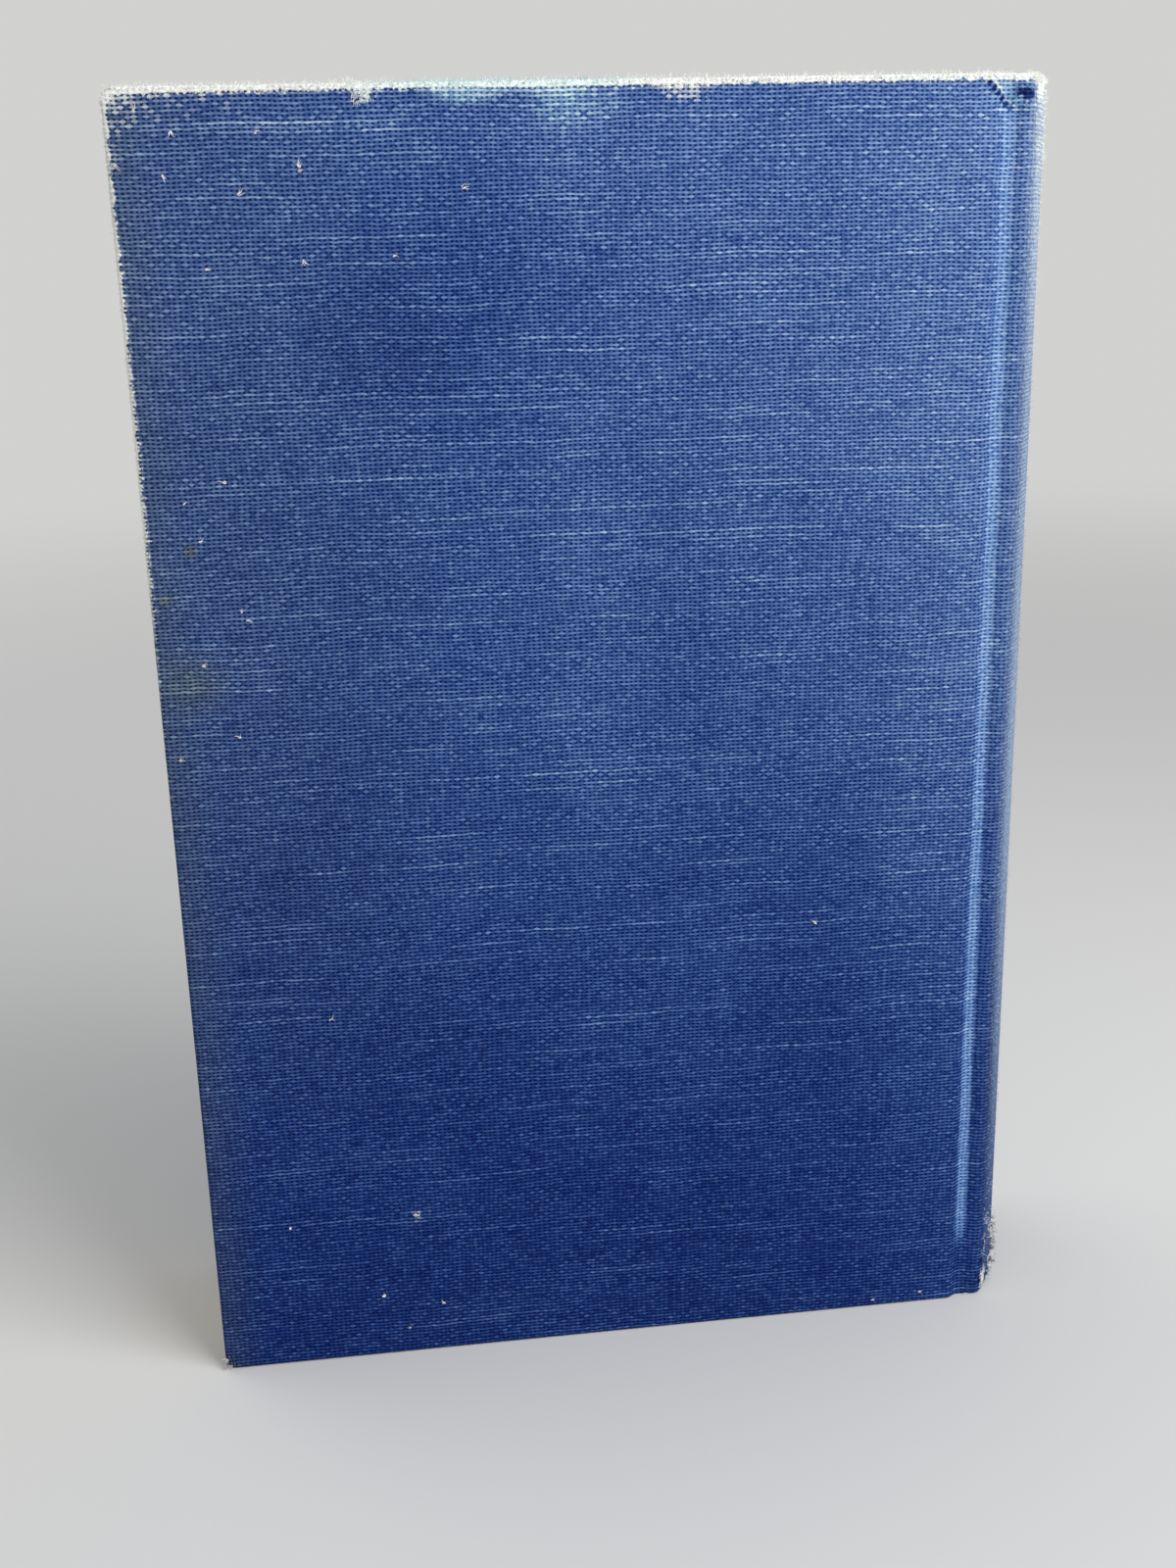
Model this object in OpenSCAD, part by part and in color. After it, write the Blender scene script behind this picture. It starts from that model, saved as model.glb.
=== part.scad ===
// Cloth-covered hardback book with a rounded, hollow spine, closed and standing on its tail.
// X runs from the fore edge to the spine, Y from the back cover to the front cover, Z up.

/* [Case] */
// Height of the covers, head to tail
case_h = 190; // [150:1:240]
// Width of each board
board_w = 118.2; // [100:0.1:150]
// Thickness of each board
board_t = 2.4; // [1.8:0.1:3.2]
// Thickness of the cover cloth
cloth_t = 0.45; // [0.3:0.05:0.5]
// Width of the cloth folded over onto the inside
turn_in = 15; // [10:1:20]
// Radius of the worn board corners at the fore edge, seen from the front
corner_r = 1.7; // [1:0.1:4]
// Radius of the cloth where it folds round a board's edge
fold_r = 0.65; // [0.55:0.05:0.8]

/* [Joint] */
// Distance from a board's spine edge to the crest of the spine's shoulder
joint_w = 4.95; // [4.6:0.05:6]
// Depth of the pressed groove under the board's face
joint_depth = 1; // [0.6:0.1:1.2]
// Width of the groove's flat floor
floor_w = 0.8; // [0.6:0.05:1]
// How far the crest of the shoulder lies under the board's face
crest_drop = 0.1; // [0.05:0.05:0.5]
// Radius of the crest
crest_r = 2; // [1.8:0.1:2.4]

/* [Spine] */
// How far the spine bulges beyond the crests of its shoulders
spine_rise = 6; // [4:0.5:8]
// Thickness of the card inlay that stiffens the spine
inlay_t = 0.8; // [0.5:0.1:1]
// Air between the block's back and the folded cloth inside the spine
hollow_gap = 0.3; // [0.3:0.05:0.6]
// Rounding of the spine's head and tail ends
cap_r = 1.4; // [1.2:0.1:2]

/* [Leaves] */
// Thickness of the leaves pressed together, away from the spine
block_t = 24.5; // [15:0.5:35]
// How far the covers stand out beyond the leaves at head and tail
square = 3; // [2:0.5:4]
// How far the covers stand out beyond the leaves at the fore edge
fore_square = 3.8; // [2.5:0.1:5]
// Depth of the hollow in the fore edge
fore_hollow = 3.2; // [2:0.1:4.5]
// How far the outermost leaves are turned over at the joint
backing = 1.6; // [1.2:0.1:1.7]
// Number of folded sections that the leaves are sewn from
sections = 14; // [8:1:18]
// Depth of the line that shows between two sections
section_line = 0.25; // [0.1:0.05:0.4]

/* [Endpapers] */
// Thickness of the endpapers
paper_t = 0.2; // [0.15:0.05:0.25]
// Air between a flyleaf and the paper inside its cover
paper_gap = 0.2; // [0.2:0.05:0.3]

/* [Back linings] */
// Thickness of the mull, the open cloth glued over the sewn back
mull_t = 0.25; // [0.15:0.05:0.25]
// How far the mull reaches under the paper inside each cover
flange_w = 26; // [15:1:35]
// Thickness of the paper lining over the mull
lining_t = 0.2; // [0.15:0.05:0.3]
// Radius of the bead of each headband
band_r = 0.9; // [0.6:0.1:1]
// Height of the headband's tape glued to the block's back
band_tape_h = 9; // [6:1:10]
// How far the paper lining stops short of the leaves at head and tail
lining_short = 1; // [0.5:0.5:3]
// Thickness of the headband's tape
band_tape_t = 0.2; // [0.15:0.05:0.25]

/* [Hidden] */

// Half thicknesses, counted out from the middle of the book
leaf_y = block_t / 2;
paper_y = leaf_y + paper_t + paper_gap;
turned_y = paper_y + paper_t;
board_y = turned_y + cloth_t;
face_y = board_y + board_t + cloth_t;

// Places along X in the case, counted from the fore edge of the covers
board_x = cloth_t + board_w;
slope_x = board_x - cloth_t;
slope_run = 1.7;
floor_x = slope_x + slope_run * joint_depth;
hinge_x = floor_x + floor_w / 2;
crest_x = board_x + joint_w;
apex_x = crest_x + spine_rise;
flange_x = board_x - flange_w;

// The spine's outer face is an arc through both crests
crest_y = face_y - crest_drop;
spine_r = (crest_y * crest_y + spine_rise * spine_rise) / (2 * spine_rise);
spine_c = [apex_x - spine_r, 0];
hollow_r = spine_r - 2 * cloth_t - inlay_t;
lining_r = hollow_r - hollow_gap;
mull_r = lining_r - lining_t;
back_r = mull_r - mull_t;

// The outermost leaf leaves the block's side at the board's edge and is turned over towards the back
shoulder_y = leaf_y + backing;
shoulder_a = asin(shoulder_y / back_r);
shoulder = spine_c + back_r * [cos(shoulder_a), sin(shoulder_a)];
bend_past = 0.15;
leaf_bend = [board_x + bend_past, leaf_y];
bend_r = 2;

// Radii in the groove: at the board's edge, at its floor and at the foot of the spine's shoulder
slope_r = 1;
floor_r = 0.8;
foot_r = 1.5;

// Half the angles, about the spine's centre, that the headbands and the paper lining cover
band_a = 37;
lining_a = 36;

mull_h = case_h - 2 * turn_in;
over = 5;
steps = 8;
$fn = 180;

function unit(v) = v / norm(v);
function reversed(p) = [for (i = [len(p) - 1:-1:0]) p[i]];
function mirrored(p) = [for (q = reversed(p)) [q.x, -q.y]];

// Points along an arc about c from angle a to angle b
function arc(c, r, a, b, n) =
    [for (i = [0:n]) let (t = a + (b - a) * i / n) c + r * [cos(t), sin(t)]];

// Points of the arc of radius r that rounds the corner q between p and s
function rounded(p, q, s, r) =
    let (
        u = unit(p - q),
        v = unit(s - q),
        half = acos(u * v) / 2,
        c = q + unit(u + v) * r / sin(half),
        from = q + u * r / tan(half) - c,
        to = q + v * r / tan(half) - c,
        a = atan2(from.y, from.x),
        turn = (atan2(to.y, to.x) - a + 540) % 360 - 180
    )
    arc(c, r, a, a + turn, steps);

// A path moved by d to the right of its direction, with each vertex mitred
function side_of(p, i) = let (v = unit(p[i + 1] - p[i])) [v.y, -v.x];
function mitre(p, i) =
    let (a = side_of(p, max(i - 1, 0)), b = side_of(p, min(i, len(p) - 2)))
    (a + b) / (1 + a * b);
function moved(p, d) = [for (i = [0:len(p) - 1]) p[i] + d * mitre(p, i)];

// How far to go from p in the unit direction u to leave the circle of radius r about the origin
function reach(p, u, r) = -(u * p) + sqrt(pow(u * p, 2) - p * p + r * r);

// The closed outline of a layer between depths a and b under a path
function layer(p, a, b) = concat(moved(p, a), reversed(moved(p, b)));

// Outer face of the front cover, from the middle of its fore edge to beyond the hinge
slope_end = [floor_x, face_y - joint_depth];
floor_end = slope_end + [floor_w, 0];
crest = [crest_x, crest_y];
cover_face = concat(
    [[0, board_y + board_t / 2]],
    rounded([0, board_y], [0, face_y], [slope_x, face_y], fold_r),
    rounded([0, face_y], [slope_x, face_y], slope_end, slope_r),
    rounded([slope_x, face_y], slope_end, floor_end, floor_r),
    [floor_end]
);

// The crest's arc touches the rising side of the groove and the spine's own arc
rise_dir = unit(crest - floor_end);
rise_in = [rise_dir.y, -rise_dir.x];
crest_off = floor_end + crest_r * rise_in - spine_c;
crest_c = spine_c + crest_off + reach(crest_off, rise_dir, spine_r - crest_r) * rise_dir;
crest_a = atan2(crest_c.y, crest_c.x - spine_c.x);
rise_a = atan2(-rise_in.y, -rise_in.x);
run_on = crest_a - 2;
shoulder_face = concat(
    [[hinge_x, floor_end.y]],
    rounded([hinge_x, floor_end.y], floor_end, crest, foot_r),
    arc(crest_c, crest_r, rise_a, crest_a, steps),
    [spine_c + spine_r * [cos(run_on), sin(run_on)]]
);

// Side of the block, on the front: flat, then turned over at the joint and run on past the back
leaf_side = concat(
    [[0, leaf_y]],
    rounded([0, leaf_y], leaf_bend, shoulder, bend_r),
    [shoulder + over * unit(shoulder - leaf_bend)]
);

// Angle at which a layer that lies d outside the leaf's side meets the arc of the back
side_dir = unit(shoulder - leaf_bend);
function back_a(d) =
    let (
        q = shoulder + d * [-side_dir.y, side_dir.x] - spine_c,
        end = q + reach(q, side_dir, back_r) * side_dir
    )
    atan2(end.y, end.x);

// Inner face of the folded cloth of the front cover
turned_face = concat(
    [[0, board_y + board_t / 2]],
    rounded([0, board_y + board_t], [0, turned_y], [slope_x, turned_y], fold_r),
    [for (i = [1:len(leaf_side) - 1]) leaf_side[i] - (turned_y - leaf_y) * mitre(leaf_side, i)]
);

module along_x(length) rotate([90, 0, 90]) linear_extrude(length) children();
module along_y(half) translate([0, half, 0]) rotate([90, 0, 0]) linear_extrude(2 * half) children();
module between_x(x0, x1, z0, z1)
    intersection() {
        children();
        translate([x0, -face_y - over, z0]) cube([x1 - x0, 2 * (face_y + over), z1 - z0]);
    }

// Outline of a rectangle with rounded corners, where r lists the radii from the lower left, clockwise
function rectangle(x0, y0, x1, y1, r) =
    let (p = [[x0, y0], [x0, y1], [x1, y1], [x1, y0]])
    [for (i = [0:3]) each r[i] > 0 ? rounded(p[(i + 3) % 4], p[i], p[(i + 1) % 4], r[i]) : [p[i]]];

// The front cover's body from its outer face to its inner one, drawn in by inset on all sides
module cover_body(inset, x_end) {
    r = fold_r - inset;
    intersection() {
        linear_extrude(case_h)
            polygon(concat(moved(cover_face, inset), reversed(moved(turned_face, -inset))));
        along_x(x_end)
            polygon(rectangle(turned_y + inset, inset, face_y - inset, case_h - inset, [r, r, r, r]));
        along_y(face_y + over)
            polygon(rectangle(inset, inset, x_end, case_h - inset,
                [corner_r - inset, corner_r - inset, 0, 0]));
    }
}

// The cloth of the front cover: the body without its board, open inside between the turned edges
module cover_cloth() {
    color("steelblue") difference() {
        cover_body(0, hinge_x);
        cover_body(cloth_t, hinge_x + over);
        translate([turn_in, 0, turn_in]) cube([case_h, board_y + board_t / 2, mull_h]);
        for (end = [0, 1]) translate([0, turned_y, end * case_h]) mirror([0, 0, end]) mitre_line();
    }
}

// The line where two turned edges meet at a corner
module mitre_line() {
    line_w = 0.25;
    start = 1.6 * corner_r;
    rotate([0, -45, 0]) translate([start, -over, -line_w / 2])
        cube([turn_in * sqrt(2) - start + line_w * 4, over + cloth_t / 2, line_w]);
}

module cover_board() {
    color("burlywood") between_x(0, board_x, 0, case_h) cover_body(cloth_t, board_x + over);
}

// The mull's free edge, glued to the board between the turned edges and under the paper
module mull_flange() {
    out = board_y - leaf_y;
    color("wheat") between_x(flange_x, hinge_x, turn_in, turn_in + mull_h)
        linear_extrude(case_h) polygon(layer(leaf_side, mull_t - out, -out));
}

// The paper inside the front cover: over the turned edges, and sunk onto the board and the mull
module pastedown() {
    sunk_x = leaf_bend.x - bend_r;
    well_h = mull_h - 2 * paper_t;
    color("antiquewhite") difference() {
        union() {
            between_x(square, hinge_x, square, case_h - square)
                linear_extrude(case_h) polygon(layer(leaf_side, leaf_y - paper_y, leaf_y - turned_y));
            translate([turn_in, paper_y, turn_in])
                cube([flange_x - turn_in, board_y - paper_y, mull_h]);
            translate([turn_in, paper_y, turn_in])
                cube([sunk_x - turn_in, board_y - mull_t - paper_y, mull_h]);
        }
        translate([turn_in + paper_t, 0, turn_in + paper_t])
            cube([flange_x - turn_in - 2 * paper_t, board_y - paper_t, well_h]);
        translate([turn_in + paper_t, 0, turn_in + paper_t])
            cube([sunk_x - turn_in - 2 * paper_t, board_y - mull_t - paper_t, well_h]);
    }
}

// Everything that lies within radius r about the spine's centre or before it, as one tall solid
module within(r) {
    translate([0, -r, 0]) cube([spine_c.x, 2 * r, case_h]);
    translate([spine_c.x, 0, 0]) cylinder(case_h, r, r);
}

// The free leaf of the front endpapers, doubled from the hinge to its fold at the shoulder
module flyleaf() {
    color("antiquewhite") intersection() {
        union() {
            between_x(fore_square, apex_x, square, case_h - square)
                linear_extrude(case_h) polygon(layer(leaf_side, 0, -paper_t));
            between_x(hinge_x, apex_x, square, case_h - square)
                linear_extrude(case_h) polygon(layer(leaf_side, 0, leaf_y - turned_y));
        }
        within(back_r);
    }
}

// Edge of the leaves seen from above, with a line between each two sections
fore_r = (leaf_y * leaf_y + fore_hollow * fore_hollow) / (2 * fore_hollow);
section_t = block_t / sections;
function fore_x(y) = fore_square + fore_hollow - fore_r + sqrt(fore_r * fore_r - y * y);
function section_edge(i) =
    let (y0 = section_t * i - leaf_y, cut = section_line / 2)
    [for (y = [y0 + cut, y0 + section_t / 2, y0 + section_t - cut]) y];
fore_edge = [
    for (i = [0:sections - 1]) each concat(
        [for (y = section_edge(i)) [fore_x(y), y]],
        i < sections - 1 ? [[fore_x(section_t * (i + 1) - leaf_y) + section_line, section_t * (i + 1) - leaf_y]] : []
    )
];
function without_ends(p) = [for (i = [1:len(p) - 2]) p[i]];
block_side = concat(
    [[fore_square, leaf_y]],
    [for (i = [1:len(leaf_side) - 1]) leaf_side[i]],
    [[apex_x, leaf_side[len(leaf_side) - 1].y]]
);

// The same lines across the head, as Y and Z, counted down from the head
head_edge = [
    for (i = [0:sections - 1]) each let (y = section_edge(i)) concat(
        [[i == 0 ? -face_y : y[0], 0], [i == sections - 1 ? face_y : y[2], 0]],
        i < sections - 1 ? [[section_t * (i + 1) - leaf_y, -section_line]] : []
    )
];

module text_block() {
    color("cornsilk") intersection() {
        linear_extrude(case_h) polygon(concat(without_ends(fore_edge), block_side, mirrored(block_side)));
        within(back_r);
        along_x(apex_x) polygon(concat(
            [for (p = reversed(head_edge)) [p.x, case_h - square + p.y]],
            [for (p = head_edge) [p.x, square - p.y]]
        ));
    }
}

// A section, as radius and height, swept about the spine's centre to an angle a on each side
module swept(a) translate([spine_c.x, 0, 0]) rotate([0, 0, -a]) rotate_extrude(angle = 2 * a) children();

// A strip bent round the block's back, between radii r0 and r1
module back_strip(r0, r1, a, end) swept(a) translate([r0, end]) square([r1 - r0, case_h - 2 * end]);

// The mull over the sewn back, turned over both shoulders as far as the hinges
module spine_mull() {
    out = turned_y - leaf_y;
    color("wheat") {
        intersection() {
            for (side = [0, 1]) mirror([0, side, 0])
                between_x(hinge_x, apex_x, turn_in, turn_in + mull_h)
                    linear_extrude(case_h) polygon(layer(leaf_side, -out, -out - mull_t));
            within((back_r + mull_r) / 2);
        }
        back_strip(back_r, mull_r, back_a(out + 2 * mull_t), turn_in);
    }
}

module spine_lining() {
    color("tan") back_strip(mull_r, lining_r, lining_a, square + lining_short);
}

// A woven band at the head of the back: a bead on the leaves and a tape glued behind them
module band() {
    base = case_h - square;
    sink = 37;
    bead_z = band_r * sin(sink);
    color("lightsteelblue") swept(band_a) union() {
        polygon(arc([back_r - band_r, base + bead_z], band_r, -sink, 180 + sink, 2 * steps));
        translate([back_r, base - band_tape_h]) square([band_tape_t, band_tape_h + bead_z]);
        translate([back_r - band_r, base]) square([band_r, bead_z]);
    }
}

// Section of a barrel about the spine's centre with its head and tail rounded, drawn in by inset
module barrel_section(inset, r) {
    cap = cap_r - inset;
    polygon(concat(
        [[0, inset]],
        rounded([0, inset], [r, inset], [r, case_h], cap),
        rounded([r, inset], [r, case_h - inset], [0, case_h - inset], cap),
        [[0, case_h - inset]]
    ));
}

// Section of the card that stiffens the spine between its two shoulders
module inlay_section() {
    intersection() {
        barrel_section(cloth_t, spine_r - cloth_t);
        translate([hollow_r + cloth_t, 0]) square([over, case_h]);
    }
}

module spine_inlay() {
    color("burlywood") swept(crest_a) inlay_section();
}

// One shoulder of the spine's cloth, from the hinge to the crest, doubled at its head and tail
module shoulder_cloth() {
    clear = 0.05;
    difference() {
        intersection() {
            union() {
                linear_extrude(case_h) polygon(layer(shoulder_face, 0, cloth_t));
                for (z = [0, case_h - turn_in]) translate([0, 0, z]) linear_extrude(turn_in)
                    polygon(layer(shoulder_face, cloth_t / 2, 2 * cloth_t));
            }
            translate([spine_c.x, 0, 0]) rotate_extrude() barrel_section(0, spine_r + clear);
        }
        swept(crest_a) square([apex_x, case_h]);
    }
}

// The cloth over the spine, with its head and tail folded in over the card
module spine_cloth() {
    color("steelblue") union() {
        swept(crest_a) difference() {
            barrel_section(0, spine_r);
            square([hollow_r, case_h]);
            inlay_section();
            translate([0, turn_in]) square([spine_r - cloth_t, mull_h]);
        }
        for (side = [0, 1]) mirror([0, side, 0]) shoulder_cloth();
    }
}

// The book's own frame has its origin under the middle of the closed book
module placed() translate([-apex_x / 2, 0, 0]) children();
module on_back() placed() mirror([0, 1, 0]) children();

module back_flyleaf() on_back() flyleaf();
module front_flyleaf() placed() flyleaf();
module head_band() band();
module tail_band() translate([0, 0, case_h]) mirror([0, 0, 1]) band();

placed() text_block();
back_flyleaf();
front_flyleaf();
placed() spine_mull();
placed() spine_lining();
placed() head_band();
placed() tail_band();
placed() spine_inlay();
placed() spine_cloth();
on_back() cover_board();  // back_board
on_back() cover_cloth();  // back_cloth
on_back() mull_flange();  // back_mull_flange
on_back() pastedown();  // back_pastedown
placed() cover_board();  // front_board
placed() cover_cloth();  // front_cloth
placed() mull_flange();  // front_mull_flange
placed() pastedown();  // front_pastedown
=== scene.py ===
# %% [markdown]
# # A cloth-covered hardback book
#
# The book stands on its tail with its back cover towards the camera and its spine at the right.
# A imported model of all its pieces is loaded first, and it stays where it is: the boards, the
# linings and the flyleaves are shown as they come, with better materials. What gives an old book
# its look is made here in more detail: the woven cloth, its faded and rubbed edges, the papers
# inside the covers, the edges of the leaves and the headbands.

# %% Load the model
import math
import random

import bmesh
import bpy
from mathutils import Matrix, Vector


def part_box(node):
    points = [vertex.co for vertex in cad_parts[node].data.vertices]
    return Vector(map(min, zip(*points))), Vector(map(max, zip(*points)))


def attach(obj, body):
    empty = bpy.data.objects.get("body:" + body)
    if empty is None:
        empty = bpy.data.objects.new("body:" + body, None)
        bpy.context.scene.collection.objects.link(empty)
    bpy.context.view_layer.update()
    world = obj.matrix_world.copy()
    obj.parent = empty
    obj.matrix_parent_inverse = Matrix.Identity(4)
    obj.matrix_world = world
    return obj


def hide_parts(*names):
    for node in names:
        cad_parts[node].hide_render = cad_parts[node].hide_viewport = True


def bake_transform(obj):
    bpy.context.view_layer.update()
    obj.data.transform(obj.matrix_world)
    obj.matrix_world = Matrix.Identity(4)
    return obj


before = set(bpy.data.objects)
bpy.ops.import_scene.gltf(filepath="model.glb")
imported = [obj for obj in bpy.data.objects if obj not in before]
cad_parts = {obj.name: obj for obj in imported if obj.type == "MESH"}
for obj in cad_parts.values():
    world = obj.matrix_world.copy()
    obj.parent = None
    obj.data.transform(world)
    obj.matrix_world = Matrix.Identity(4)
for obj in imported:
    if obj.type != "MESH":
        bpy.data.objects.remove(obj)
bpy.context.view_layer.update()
bpy.ops.object.select_all(action="DESELECT")
random.seed(7)
print("pieces of the model:", len(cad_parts))

# %% [markdown]
# ## Sizes
#
# A bookbinder measures in millimetres, and Blender's unit is the metre. Each piece below is
# modelled in millimetres, with x counted from the fore edge of the covers, and is brought to its
# place in metres when it is finished. The main sizes are read from the model, so that the looks
# follow it.

# %% Sizes in millimetres
MM = 0.001
low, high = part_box("back_cloth")
spine_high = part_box("spine_cloth")[1]
leaves_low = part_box("text_block")[0]

case_left = low.x / MM
case_h = high.z / MM
face_y = -low.y / MM
turned_y = -high.y / MM
apex_x = spine_high.x / MM - case_left
hinge_x = high.x / MM - case_left
cover_t = face_y - turned_y
turn_in = 15
cloth_t = 0.4
fold_r = 0.65
corner_r = 1.7
print("case", round(apex_x, 2), "x", round(2 * face_y, 2), "x", round(case_h, 2), "mm")

# %% [markdown]
# ## The camera
#
# The four corners of the cover in the photograph fix the place from which it was taken: a little
# right of the fore edge, a book's length and a half away, and tipped down by about 17 degrees.
# A camera is set by three directions. Blender's cameras look along their own -Z with +Y up, so
# the three directions make the columns of its matrix.

# %% Camera
eye = Vector((-0.03453, -0.26141, 0.16988))
right = Vector((0.9913, -0.1289, -0.0250)).normalized()
look = Vector((0.1159, 0.9483, -0.2954)).normalized()
up = right.cross(look).normalized()

bpy.ops.object.camera_add()
camera = bpy.context.object
camera.name = "camera"
camera.matrix_world = Matrix.Translation(eye) @ Matrix((right, up, -look)).transposed().to_4x4()
camera.data.lens = 40.4
camera.data.sensor_width = 36
camera.data.clip_start = 0.01
bpy.context.scene.camera = camera
bpy.context.scene.view_settings.view_transform = "Standard"
print("camera tipped down by", round(math.degrees(math.asin(-look.z)), 1), "degrees")

# %% [markdown]
# ## Floor and light
#
# The light in the photograph is soft daylight from the upper right. A pale even sky gives most of
# it, and one broad lamp above the head of the spine gives the slow fall of brightness towards the
# lower left of the cover. The lamp is large, so the shadow on the floor stays soft.
#
# A floor that just ends would draw a hard horizon. So, for the camera alone, the floor fades with
# distance into one pale colour, and the sky behind it has the same colour. The light that reaches
# the book isn't changed by this.

# %% Lamps
def soft_lamp(name, place, target, size, watts):
    """A square lamp at place that faces target."""
    bpy.ops.object.light_add(type="AREA", location=place)
    lamp = bpy.context.object
    lamp.name = name
    lamp.data.size = size
    lamp.data.energy = watts
    lamp.rotation_euler = (Vector(target) - Vector(place)).to_track_quat("-Z", "Y").to_euler()


soft_lamp("window", (0.26, -0.28, 0.5), (0.03, 0, 0.15), 0.35, 2.7)
soft_lamp("room", (-0.9, 0.5, 0.9), (0, 0, 0.1), 1.2, 4.5)

# %% Floor and sky
backdrop = (0.64, 0.64, 0.63, 1)
daylight = 0.43


def seen_directly(tree):
    """Is 1 for what the camera sees, straight, mirrored or through glass, and 0 for light."""
    path = tree.nodes.new("ShaderNodeLightPath")
    total = path.outputs["Is Camera Ray"]
    for name in ("Is Glossy Ray", "Is Transmission Ray"):
        node = tree.nodes.new("ShaderNodeMath")
        node.operation = "MAXIMUM"
        tree.links.new(total, node.inputs[0])
        tree.links.new(path.outputs[name], node.inputs[1])
        total = node.outputs[0]
    return total


def mixed(tree, share, first, second, output):
    """Mixes two shaders and gives the result to the output node."""
    node = tree.nodes.new("ShaderNodeMixShader")
    for socket, value in zip(node.inputs, (share, first, second)):
        tree.links.new(value, socket)
    tree.links.new(node.outputs[0], output.inputs["Surface"])


world = bpy.data.worlds.new("daylight")
bpy.context.scene.world = world
world.use_nodes = True
tree = world.node_tree
sky, behind = tree.nodes["Background"], tree.nodes.new("ShaderNodeBackground")
sky.inputs["Color"].default_value = (0.97, 0.98, 1, 1)
sky.inputs["Strength"].default_value = daylight
behind.inputs["Color"].default_value = backdrop
mixed(tree, seen_directly(tree), sky.outputs[0], behind.outputs[0], tree.nodes["World Output"])

bpy.ops.mesh.primitive_plane_add(size=12)
floor = bpy.context.object
floor.name = "floor"
floor_paint = bpy.data.materials.new("pale_floor")
floor_paint.use_nodes = True
floor.data.materials.append(floor_paint)
tree = floor_paint.node_tree
paint = tree.nodes["Principled BSDF"]
paint.inputs["Base Color"].default_value = (0.66, 0.66, 0.65, 1)
paint.inputs["Roughness"].default_value = 0.9
far = tree.nodes.new("ShaderNodeEmission")
far.inputs["Color"].default_value = backdrop
place = tree.nodes.new("ShaderNodeTexCoord")
distance = tree.nodes.new("ShaderNodeVectorMath")
distance.operation = "LENGTH"
tree.links.new(place.outputs["Object"], distance.inputs[0])
farness = tree.nodes.new("ShaderNodeMapRange")
farness.interpolation_type = "SMOOTHSTEP"
farness.inputs["From Min"].default_value = 0.2
farness.inputs["From Max"].default_value = 1.1
tree.links.new(distance.outputs["Value"], farness.inputs["Value"])
share = tree.nodes.new("ShaderNodeMath")
share.operation = "MULTIPLY"
tree.links.new(farness.outputs[0], share.inputs[0])
tree.links.new(seen_directly(tree), share.inputs[1])
mixed(tree, share.outputs[0], paint.outputs[0], far.outputs[0], tree.nodes["Material Output"])

# %% [markdown]
# ## Helpers for modelling
#
# Modelling by hand is: select some faces or edges, then extrude, bevel or move them. `pick` does
# the selecting, by a test on where a face or an edge is and which way it faces. The rest are
# short names for steps that come back in every piece.

# %% Helpers for modelling
def only(piece):
    """Selects one piece alone and makes it the active one."""
    bpy.ops.object.select_all(action="DESELECT")
    piece.select_set(True)
    bpy.context.view_layer.objects.active = piece


def start_edit(piece):
    """Opens a piece for editing, with nothing selected."""
    only(piece)
    bpy.ops.object.mode_set(mode="EDIT")
    bpy.ops.mesh.select_all(action="DESELECT")


def end_edit():
    bpy.ops.object.mode_set(mode="OBJECT")


def pick(kind, test):
    """Selects the faces (FACE), edges (EDGE) or points (VERT) of the open piece that pass a test."""
    bpy.ops.mesh.select_mode(type=kind)
    bpy.ops.mesh.select_all(action="DESELECT")
    mesh = bmesh.from_edit_mesh(bpy.context.object.data)
    mesh.normal_update()
    for part in {"FACE": mesh.faces, "EDGE": mesh.edges, "VERT": mesh.verts}[kind]:
        if test(part):
            part.select_set(True)
    bmesh.update_edit_mesh(bpy.context.object.data)


def at(value, wanted, slack=0.01):
    """Is a value the wanted one, but for rounding?"""
    return abs(value - wanted) < slack


def middle(edge):
    return (edge.verts[0].co + edge.verts[1].co) / 2


def direction(edge):
    return (edge.verts[1].co - edge.verts[0].co).normalized()


def push(x=0, y=0, z=0):
    """Extrudes what is selected by a step."""
    bpy.ops.mesh.extrude_region_move(TRANSFORM_OT_translate={"value": (x, y, z)})


def box_piece(name, lowest, highest):
    """A box between two corners, as the start of a piece."""
    a, b = Vector(lowest), Vector(highest)
    bpy.ops.mesh.primitive_cube_add(size=1, location=(a + b) / 2)
    piece = bpy.context.object
    piece.name = name
    piece.scale = b - a
    bpy.ops.object.transform_apply(location=True, rotation=True, scale=True)
    return piece


def evenly(length, count):
    """The places that divide a length into equal parts."""
    return [length * i / count for i in range(1, count)]


def cut_across(axis, places):
    """Cuts the open piece with planes across an axis."""
    for place in places:
        point, normal = Vector((0, 0, 0)), Vector((0, 0, 0))
        point["xyz".index(axis)] = place
        normal["xyz".index(axis)] = 1
        bpy.ops.mesh.select_all(action="SELECT")
        bpy.ops.mesh.bisect(plane_co=point, plane_no=normal)


def face_outwards():
    """Turns every face of the open piece outwards."""
    bpy.ops.mesh.select_all(action="SELECT")
    bpy.ops.mesh.normals_make_consistent(inside=False)


def finish_modifier(piece, kind, **settings):
    """Adds a modifier and applies it at once."""
    only(piece)
    modifier = piece.modifiers.new(kind.lower(), kind)
    for name, value in settings.items():
        setattr(modifier, name, value)
    bpy.ops.object.modifier_apply(modifier=modifier.name)


def to_place(piece):
    """Brings a finished piece from millimetres to its place in metres, with its object at the origin."""
    only(piece)
    piece.location = (case_left * MM, 0, 0)
    piece.scale = (MM, MM, MM)
    bpy.ops.object.transform_apply(location=True, rotation=True, scale=True)
    bpy.ops.object.shade_smooth_by_angle(angle=math.radians(40))
    print(piece.name, "has", len(piece.data.polygons), "faces")


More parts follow.
